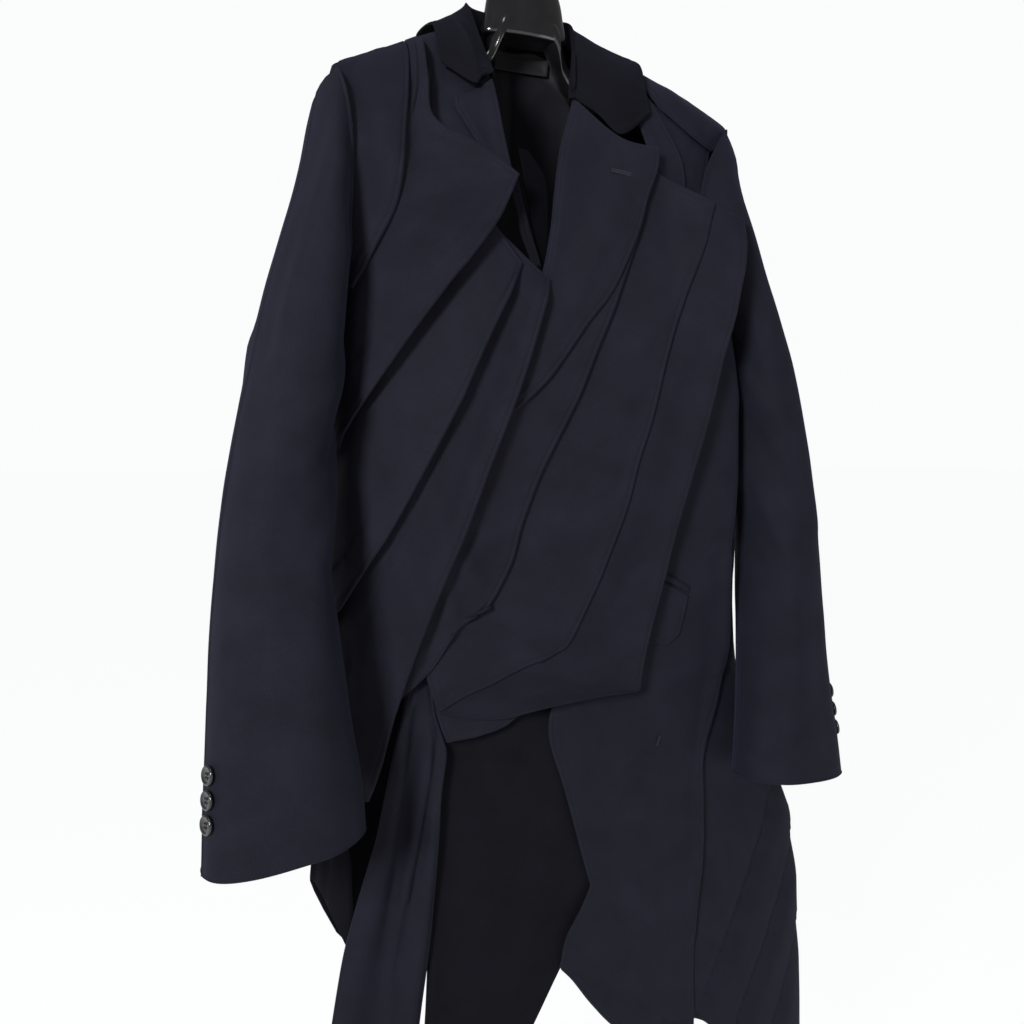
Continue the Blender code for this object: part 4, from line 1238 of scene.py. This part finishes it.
# ---------------------------------------------------------------- materials

def nodes_for(name):
    made = bpy.data.materials.new(name)
    made.use_nodes = True
    tree = made.node_tree
    return made, tree, tree.nodes["Principled BSDF"]


def cloth_look(name, dark, light, pitch, slant, bump, roughness, sheen, sheen_tint, specular,
               sheen_roughness=0.45, mottle=0.35):
    """Woven cloth: diagonal ribs of the weave, fibres along them and slow mottling."""
    made, tree, shader = nodes_for(name)
    new, link = tree.nodes.new, tree.links.new
    uv = new("ShaderNodeUVMap")
    uv.uv_map = "cloth"
    place = new("ShaderNodeMapping")
    place.inputs["Scale"].default_value = (1000, 1000, 1000)
    place.inputs["Rotation"].default_value = (0, 0, math.radians(slant))
    link(uv.outputs["UV"], place.inputs["Vector"])
    rib = new("ShaderNodeTexWave")
    rib.bands_direction = "X"
    rib.inputs["Scale"].default_value = 0.314 / pitch
    rib.inputs["Distortion"].default_value = 0.6
    rib.inputs["Detail"].default_value = 2
    rib.inputs["Detail Scale"].default_value = 1.5
    link(place.outputs["Vector"], rib.inputs["Vector"])
    stretch = new("ShaderNodeMapping")
    stretch.inputs["Scale"].default_value = (1.4, 0.55, 1)
    link(place.outputs["Vector"], stretch.inputs["Vector"])
    fibre = new("ShaderNodeTexNoise")
    fibre.inputs["Scale"].default_value = 1.0
    fibre.inputs["Detail"].default_value = 4
    fibre.inputs["Roughness"].default_value = 0.6
    link(stretch.outputs["Vector"], fibre.inputs["Vector"])
    slow = new("ShaderNodeTexNoise")
    slow.inputs["Scale"].default_value = 0.028
    slow.inputs["Detail"].default_value = 5
    slow.inputs["Roughness"].default_value = 0.62
    link(place.outputs["Vector"], slow.inputs["Vector"])
    both = new("ShaderNodeMath")
    both.operation = "MULTIPLY_ADD"
    both.inputs[1].default_value = 0.35
    link(rib.outputs["Fac"], both.inputs[0])
    half = new("ShaderNodeMath")
    half.operation = "MULTIPLY"
    half.inputs[1].default_value = 0.65
    link(fibre.outputs["Fac"], half.inputs[0])
    link(half.outputs["Value"], both.inputs[2])
    tone = new("ShaderNodeMath")
    tone.operation = "MULTIPLY_ADD"
    tone.inputs[1].default_value = mottle
    tone.use_clamp = True
    link(slow.outputs["Fac"], tone.inputs[0])
    part = new("ShaderNodeMath")
    part.operation = "MULTIPLY"
    part.inputs[1].default_value = 1 - mottle
    link(both.outputs["Value"], part.inputs[0])
    link(part.outputs["Value"], tone.inputs[2])
    ramp = new("ShaderNodeValToRGB")
    ramp.color_ramp.elements[0].position = 0.34
    ramp.color_ramp.elements[0].color = (*dark, 1)
    ramp.color_ramp.elements[1].position = 0.68
    ramp.color_ramp.elements[1].color = (*light, 1)
    link(tone.outputs["Value"], ramp.inputs["Fac"])
    link(ramp.outputs["Color"], shader.inputs["Base Color"])
    rough = new("ShaderNodeMapRange")
    rough.inputs["To Min"].default_value = roughness - 0.06
    rough.inputs["To Max"].default_value = roughness + 0.06
    link(slow.outputs["Fac"], rough.inputs["Value"])
    link(rough.outputs["Result"], shader.inputs["Roughness"])
    relief = new("ShaderNodeBump")
    relief.inputs["Strength"].default_value = bump
    relief.inputs["Distance"].default_value = 0.0005
    link(both.outputs["Value"], relief.inputs["Height"])
    link(relief.outputs["Normal"], shader.inputs["Normal"])
    shader.inputs["Sheen Weight"].default_value = sheen
    shader.inputs["Sheen Roughness"].default_value = sheen_roughness
    shader.inputs["Sheen Tint"].default_value = (*sheen_tint, 1)
    shader.inputs["Specular IOR Level"].default_value = specular
    return made


def hard_look(name, dark, light, roughness, scale, bump, metallic=0.0, coat=0.0, spread=0.06):
    """Moulded or polished surface: slight tone and gloss changes, faint scuffs."""
    made, tree, shader = nodes_for(name)
    new, link = tree.nodes.new, tree.links.new
    where = new("ShaderNodeTexCoord")
    spots = new("ShaderNodeTexNoise")
    spots.inputs["Scale"].default_value = scale
    spots.inputs["Detail"].default_value = 5
    link(where.outputs["Object"], spots.inputs["Vector"])
    ramp = new("ShaderNodeValToRGB")
    ramp.color_ramp.elements[0].position = 0.3
    ramp.color_ramp.elements[0].color = (*dark, 1)
    ramp.color_ramp.elements[1].position = 0.75
    ramp.color_ramp.elements[1].color = (*light, 1)
    link(spots.outputs["Fac"], ramp.inputs["Fac"])
    link(ramp.outputs["Color"], shader.inputs["Base Color"])
    rough = new("ShaderNodeMapRange")
    rough.inputs["To Min"].default_value = max(0.02, roughness - spread)
    rough.inputs["To Max"].default_value = roughness + spread
    link(spots.outputs["Fac"], rough.inputs["Value"])
    link(rough.outputs["Result"], shader.inputs["Roughness"])
    relief = new("ShaderNodeBump")
    relief.inputs["Strength"].default_value = bump
    relief.inputs["Distance"].default_value = 0.0002
    link(spots.outputs["Fac"], relief.inputs["Height"])
    link(relief.outputs["Normal"], shader.inputs["Normal"])
    shader.inputs["Metallic"].default_value = metallic
    shader.inputs["Coat Weight"].default_value = coat
    shader.inputs["Coat Roughness"].default_value = 0.05
    return made


NAVY_DARK, NAVY_LIGHT = (0.0028, 0.0027, 0.0052), (0.0112, 0.0110, 0.0200)
SHEEN = (0.36, 0.40, 0.78)
wool = {
    "body": cloth_look("wool_body", NAVY_DARK, NAVY_LIGHT, 0.55, 28, 0.5, 0.80, 0.040, SHEEN, 0.11),
    "bias": cloth_look("wool_bias", NAVY_DARK, NAVY_LIGHT, 0.55, -38, 0.5, 0.78, 0.048, SHEEN, 0.12),
    "sleeve": cloth_look("wool_sleeve", NAVY_DARK, NAVY_LIGHT, 0.55, 24, 0.5, 0.80, 0.040, SHEEN, 0.11),
    # wool 'deep' is the same navy wool painted darker: painted shade for pieces that lie in shade
    "deep": cloth_look("wool_painted_shade", (0.0018, 0.0018, 0.0030), (0.0062, 0.0061, 0.0096), 0.55, 30, 0.5,
                       0.88, 0.016, SHEEN, 0.07),
}
satin = cloth_look("satin_lining", (0.0028, 0.0028, 0.0048), (0.0062, 0.0062, 0.0100), 0.32, 3, 0.25, 0.46, 0.03,
                   (0.5, 0.5, 0.62), 0.22, 0.3, 0.5)
# The left facing inside the V is painted far darker than the wool: painted shade of the recess
dull = cloth_look("dull_facing", (0.0012, 0.0012, 0.0019), (0.0026, 0.0026, 0.0040), 0.40, 5, 0.2, 0.85, 0.003,
                  (0.5, 0.5, 0.62), 0.03, 0.3, 0.3)
woven = cloth_look("woven_label", (0.0050, 0.0048, 0.0060), (0.0105, 0.0102, 0.0125), 0.40, 0, 0.35, 0.48, 0.04,
                   (0.6, 0.6, 0.66), 0.25, 0.3, 0.2)
plastic = hard_look("moulded_black", (0.0035, 0.0035, 0.0042), (0.0070, 0.0070, 0.0080), 0.13, 60, 0.06,
                    coat=0.35, spread=0.04)
steel = hard_look("plated_wire", (0.50, 0.50, 0.51), (0.66, 0.66, 0.67), 0.20, 180, 0.10, metallic=1.0)
horn = hard_look("button_black", (0.009, 0.0085, 0.010), (0.020, 0.019, 0.021), 0.24, 140, 0.10, coat=0.25)
thread = hard_look("thread_black", (0.012, 0.012, 0.018), (0.024, 0.024, 0.034), 0.75, 900, 0.5)
thread.node_tree.nodes["Principled BSDF"].inputs["Specular IOR Level"].default_value = 0.15

# ---------------------------------------------------------------- the cloth

SHAPES = {"drape_fold": drape_shape, "layer_left_outer": lifted_shape, "layer_left_inner": lifted_shape}
BIAS = {"layer_right_2", "layer_left_inner", "layer_centre", "lapel_left", "crescent", "skirt_left", "pocket_flap"}
# Pieces that lie in shade (the recessed centre skirt, the right facing) take the darker wool: painted shade
PAINTED_SHADE_PIECES = {"skirt_centre", "facing_right"}
for node, spec in PANELS.items():
    if node == "facing_left":
        # the left facing takes its painted-shade look
        dense_panel(node, spec, dull)
        continue
    look = wool["bias"] if node in BIAS else wool["deep"] if node in PAINTED_SHADE_PIECES else wool["body"]
    dense_panel(node, spec, look, SHAPES.get(node))
for node, spec in LAPELS.items():
    dense_panel(node, spec, wool["bias"] if node in BIAS else wool["body"], lapel_shape(spec["roll"]),
                roll=spec["roll"])
dense_back("back_right", -1, wool["body"])
dense_back("back_left", 1, wool["body"])
# The right side takes the darker wool: painted shade
dense_side("side_right", SIDE_RIGHT, -1, wool["deep"], 20)
dense_side("side_left", SIDE_LEFT, 1, wool["body"], 84, pleated=True)
for side, rows in (("right", SLEEVE_RIGHT), ("left", SLEEVE_LEFT)):
    dense_sleeve(side, "top", rows, SLEEVE_BACK_SEAM, SLEEVE_FRONT_SEAM, wool["sleeve"])
    dense_sleeve(side, "under", rows, SLEEVE_FRONT_SEAM, SLEEVE_BACK_SEAM + 360, wool["sleeve"])
# The collar takes the darker wool: painted shade
dense_collar(wool["deep"])
dense_lining(satin)
dense_label(woven)


# ---------------------------------------------------------------- hard pieces

def mesh_piece(name, bm, look):
    bmesh.ops.recalc_face_normals(bm, faces=bm.faces[:])
    mesh = bpy.data.meshes.new(name)
    bm.to_mesh(mesh)
    bm.free()
    made = bpy.data.objects.new(name, mesh)
    bpy.context.scene.collection.objects.link(made)
    mesh.materials.append(look)
    mesh.shade_smooth()
    return made


def oval(bm, centre, first, second, count, power=2.4):
    verts = []
    for k in range(count):
        a = math.tau * k / count
        c, s = math.cos(a), math.sin(a)
        c = math.copysign(abs(c) ** (2 / power), c)
        s = math.copysign(abs(s) ** (2 / power), s)
        verts.append(bm.verts.new((centre + first * c + second * s) * MM))
    return verts


def skin(bm, rings):
    for a, b in zip(rings, rings[1:]):
        for k in range(len(a)):
            m = (k + 1) % len(a)
            bm.faces.new((a[k], a[m], b[m], b[k]))
    bm.faces.new(rings[0][::-1])
    bm.faces.new(rings[-1])


def dense_rows(rows, count):
    """Rows of numbers, smoothly filled in between."""
    made = []
    for i in range((len(rows) - 1) * count + 1):
        t = i / count
        three = [spline([Vector((row[k], row[k + 1] if k + 1 < len(row) else 0,
                                 row[k + 2] if k + 2 < len(row) else 0)) for row in rows], set(), t)
                 for k in (0, 3)] if len(rows[0]) > 3 else [
                     spline([Vector(row) for row in rows], set(), t)]
        values = [v for part in three for v in part][:len(rows[0])]
        made.append(values)
    return made


bm = bmesh.new()
full = [(-x, y, z, d, h) for x, y, z, d, h in ARM[:0:-1]] + list(ARM)
rings = [oval(bm, Vector((x, y, z)), Vector((0, d, 0)), Vector((0, 0, h)), 32)
         for x, y, z, d, h in dense_rows(full, 6)]
skin(bm, rings)
lip = [(NECK[0][0], NECK[0][1] - 3.0, NECK[0][2] - 3.0), (NECK[0][0] + 0.1, NECK[0][1] - 1.0, NECK[0][2] - 1.0),
       (NECK[0][0] + 1.0, NECK[0][1], NECK[0][2])]
body_rows = dense_rows(NECK[1:], 5)
top = body_rows[-1]
crown = [(top[0] + 0.9, top[1] - 1.6, top[2] - 1.4), (top[0] + 1.4, top[1] - 4.0, top[2] - 3.2)]
rings = [oval(bm, Vector((0, 0, z)), Vector((w, 0, 0)), Vector((0, d, 0)), 56)
         for z, w, d in lip + body_rows + crown]
skin(bm, rings)
hanger = mesh_piece("moulding_hanger", bm, plastic)
stands_for(hanger, "hanger_body", sheet=False)
for index in range(len(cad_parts["hanger_hook"].material_slots)):
    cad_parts["hanger_hook"].material_slots[index].material = steel


def button_piece(side, rows, k):
    """A dished four-hole button with its thread."""
    z = rows[-1][1] + BUTTONS_FROM_HEM + BUTTON_PITCH * k
    t = len(rows) - 2.0
    for _ in range(30):
        p, out = frame_at(rows, t, BUTTON_ANGLE)
        t += (p.z - z) / 60.0
    r, h = BUTTON_DIAMETER / 2, BUTTON_THICK
    profile = ((0, 0), (r * 0.62, 0), (r * 0.86, 0.15 * h), (r * 0.97, h * 0.38), (r, h * 0.58),
               (r * 0.985, h * 0.78), (r * 0.93, h * 0.94), (r * 0.86, h), (r * 0.78, h * 0.97),
               (r * 0.70, h * 0.86), (r * 0.62, h * 0.76), (r * 0.5, h * 0.72), (0, h * 0.71))
    bm = bmesh.new()
    made = [bm.verts.new((x * MM, 0, y * MM)) for x, y in profile]
    for a, b in zip(made, made[1:]):
        bm.edges.new((a, b))
    bmesh.ops.spin(bm, geom=bm.verts[:] + bm.edges[:], axis=(0, 0, 1), cent=(0, 0, 0),
                   steps=48, angle=math.tau, use_merge=True)
    bmesh.ops.remove_doubles(bm, verts=bm.verts[:], dist=1e-6)
    name = f"button_{side}_{k + 1}"
    disc = mesh_piece("disc_" + name, bm, horn)
    bm = bmesh.new()
    spots = [(1.35 * sx, 1.35 * sy) for sx in (-1, 1) for sy in (-1, 1)]
    for x, y in spots:
        made = bmesh.ops.create_cone(bm, cap_ends=True, segments=16, radius1=0.75 * MM, radius2=0.75 * MM,
                                     depth=8 * MM)
        bmesh.ops.translate(bm, verts=made["verts"], vec=(x * MM, y * MM, 0))
    drill = mesh_piece("drill", bm, horn)
    cut = disc.modifiers.new("holes", "BOOLEAN")
    cut.operation = "DIFFERENCE"
    cut.object = drill
    graph = bpy.context.evaluated_depsgraph_get()
    done = bpy.data.meshes.new_from_object(disc.evaluated_get(graph))
    disc.modifiers.clear()
    disc.data = done
    bpy.data.objects.remove(drill)
    bm = bmesh.new()
    for x in (-1.35, 1.35):
        for lift in (-0.28, 0.0, 0.28):
            rings = []
            for i in range(9):
                y = 1.35 * (i / 4 - 1)
                rise = h * 0.74 + 0.55 * math.sqrt(max(0.0, 1 - (i / 4 - 1) ** 4))
                if i in (0, 8):
                    rise = 0.2
                rings.append(oval(bm, Vector((x + lift, y, rise)), Vector((0.22, 0, 0)), Vector((0, 0, 0.22)), 8, 2))
            skin(bm, rings)
    rings = [oval(bm, Vector((0, 0, -SHANK * (1 - i / 4))), Vector((0.9, 0, 0)), Vector((0, 0.9, 0)), 12, 2)
             for i in range(5)]
    skin(bm, rings)
    stitches = mesh_piece("thread_" + name, bm, thread)
    for piece in (disc, stitches):
        turn = out.to_track_quat("Z", "X").to_matrix().to_4x4()
        turn.translation = (p + out * (SHANK + 0.3)) * MM
        piece.data.transform(turn)
    stands_for(disc, name, sheet=False)
    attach(stitches, "root")


for side, rows in (("right", SLEEVE_RIGHT), ("left", SLEEVE_LEFT)):
    for k in range(3):
        button_piece(side, rows, k)


def stitched_bar(name, ends, width, place, bars):
    """A worked buttonhole or tack: close stitches over a line on the cloth."""
    bm = bmesh.new()
    (ax, az), (bx, bz) = ends
    along = Vector((bx - ax, 0, bz - az))
    length = along.length
    along.normalize()
    across = Vector((-along.z, 0, along.x))
    for i in range(bars):
        s = length * (i + 0.5) / bars
        for way in (-1, 1):
            rings = []
            for j in range(5):
                q = Vector((ax, 0, az)) + along * s + across * (way * (0.15 + (width - 0.15) * j / 4))
                p, out = place(q.x, q.z)
                beside = place(q.x + along.x, q.z + along.z)[0] - p
                beside.normalize()
                p = p + out * (0.1 + 0.22 * math.sin(math.pi * (j + 0.6) / 5.2))
                rings.append(oval(bm, p, beside * (length / bars * 0.52), out * 0.24, 6, 2))
            skin(bm, rings)
    made = mesh_piece(name, bm, thread)
    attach(made, "root")
    return made


def on(level, lift=0.0):
    def place(x, z):
        p = lay(x, z, level)
        p.y -= lift + crease_height(x, z, ROLLS) + wobble(x, z)
        return p, Vector((0, -1, 0))
    return place


def on_sleeve(side, rows, lift=0.0):
    """Places on a sleeve: x is degrees round times 0.8, z is the height."""
    def place(x, z):
        a = x / 0.8
        t = len(rows) - 2.0
        for _ in range(24):
            p, out = frame_at(rows, t, a)
            t += (p.z - z) / 60.0
        high = wobble(x, p.z, 31 if side == "right" else 47) + lift
        return p + out * high, out
    return place


stitched_bar("buttonhole_lapel", ((36, -270.5), (57, -273)), 1.7, on(6, 0.6), 26)
stitched_bar("tack_slit", ((101, -748), (98, -757)), 1.1, on(1, 0.1), 9)
for side, rows in (("right", SLEEVE_RIGHT), ("left", SLEEVE_LEFT)):
    for k in range(3):
        z = rows[-1][1] + BUTTONS_FROM_HEM + BUTTON_PITCH * k
        start = (BUTTON_ANGLE + 8.0) * 0.8
        stitched_bar(f"buttonhole_{side}_{k + 1}", ((start, z), (start + 7.5, z)), 1.3,
                     on_sleeve(side, rows, 0.05), 11)

# ---------------------------------------------------------------- room, light, camera

bm = bmesh.new()
bmesh.ops.create_grid(bm, x_segments=2, y_segments=2, size=40)
bmesh.ops.translate(bm, verts=bm.verts[:], vec=(0, 6, -1.55))
floor_look, floor_tree, floor_shader = nodes_for("pale_floor")
floor_shader.inputs["Base Color"].default_value = (0.10, 0.10, 0.10, 1)
floor_shader.inputs["Roughness"].default_value = 0.9
floor_shader.inputs["Specular IOR Level"].default_value = 0.0
floor_shader.inputs["Emission Color"].default_value = (0.965, 0.97, 0.972, 1)
floor_shader.inputs["Emission Strength"].default_value = 0.97
floor = mesh_piece("floor", bm, floor_look)

SURROUND = 0.22            # how much of the white surround lights the cloth
world = bpy.data.worlds.new("studio")
bpy.context.scene.world = world
world.use_nodes = True
background = world.node_tree.nodes["Background"]
background.inputs["Color"].default_value = (0.965, 0.97, 0.972, 1)
seen = world.node_tree.nodes.new("ShaderNodeLightPath")
strength = world.node_tree.nodes.new("ShaderNodeMapRange")
strength.inputs["To Min"].default_value = SURROUND
strength.inputs["To Max"].default_value = 1.0
world.node_tree.links.new(seen.outputs["Is Camera Ray"], strength.inputs["Value"])
world.node_tree.links.new(strength.outputs["Result"], background.inputs["Strength"])


def softbox(name, place, aim, size, power, colour=(1, 1, 1)):
    lamp = bpy.data.lights.new(name, "AREA")
    lamp.shape = "RECTANGLE"
    lamp.size, lamp.size_y = size
    lamp.energy = power
    lamp.color = colour
    made = bpy.data.objects.new(name, lamp)
    made.location = place
    made.rotation_euler = (Vector(aim) - Vector(place)).to_track_quat("-Z", "Y").to_euler()
    bpy.context.scene.collection.objects.link(made)


softbox("key", (-1.75, -1.65, 0.10), (0.0, 0.0, -0.64), (0.42, 0.55), 74)
softbox("top", (-0.5, -0.9, 1.4), (0.0, 0.0, -0.3), (0.8, 0.6), 7)
softbox("fill", (1.6, -1.9, -0.7), (0.0, 0.0, -0.7), (0.9, 1.4), 5)

camera = bpy.data.cameras.new("camera")
camera.sensor_width = 36
camera.lens = 36 * 1000 / 1024
view = bpy.data.objects.new("camera", camera)
view.location = (-0.387, -0.798, -0.494)
view.rotation_euler = (math.radians(90 - 3.7), 0, math.radians(-25.2))
bpy.context.scene.collection.objects.link(view)
bpy.context.scene.camera = view
bpy.context.scene.view_settings.view_transform = "Standard"

bpy.context.view_layer.update()
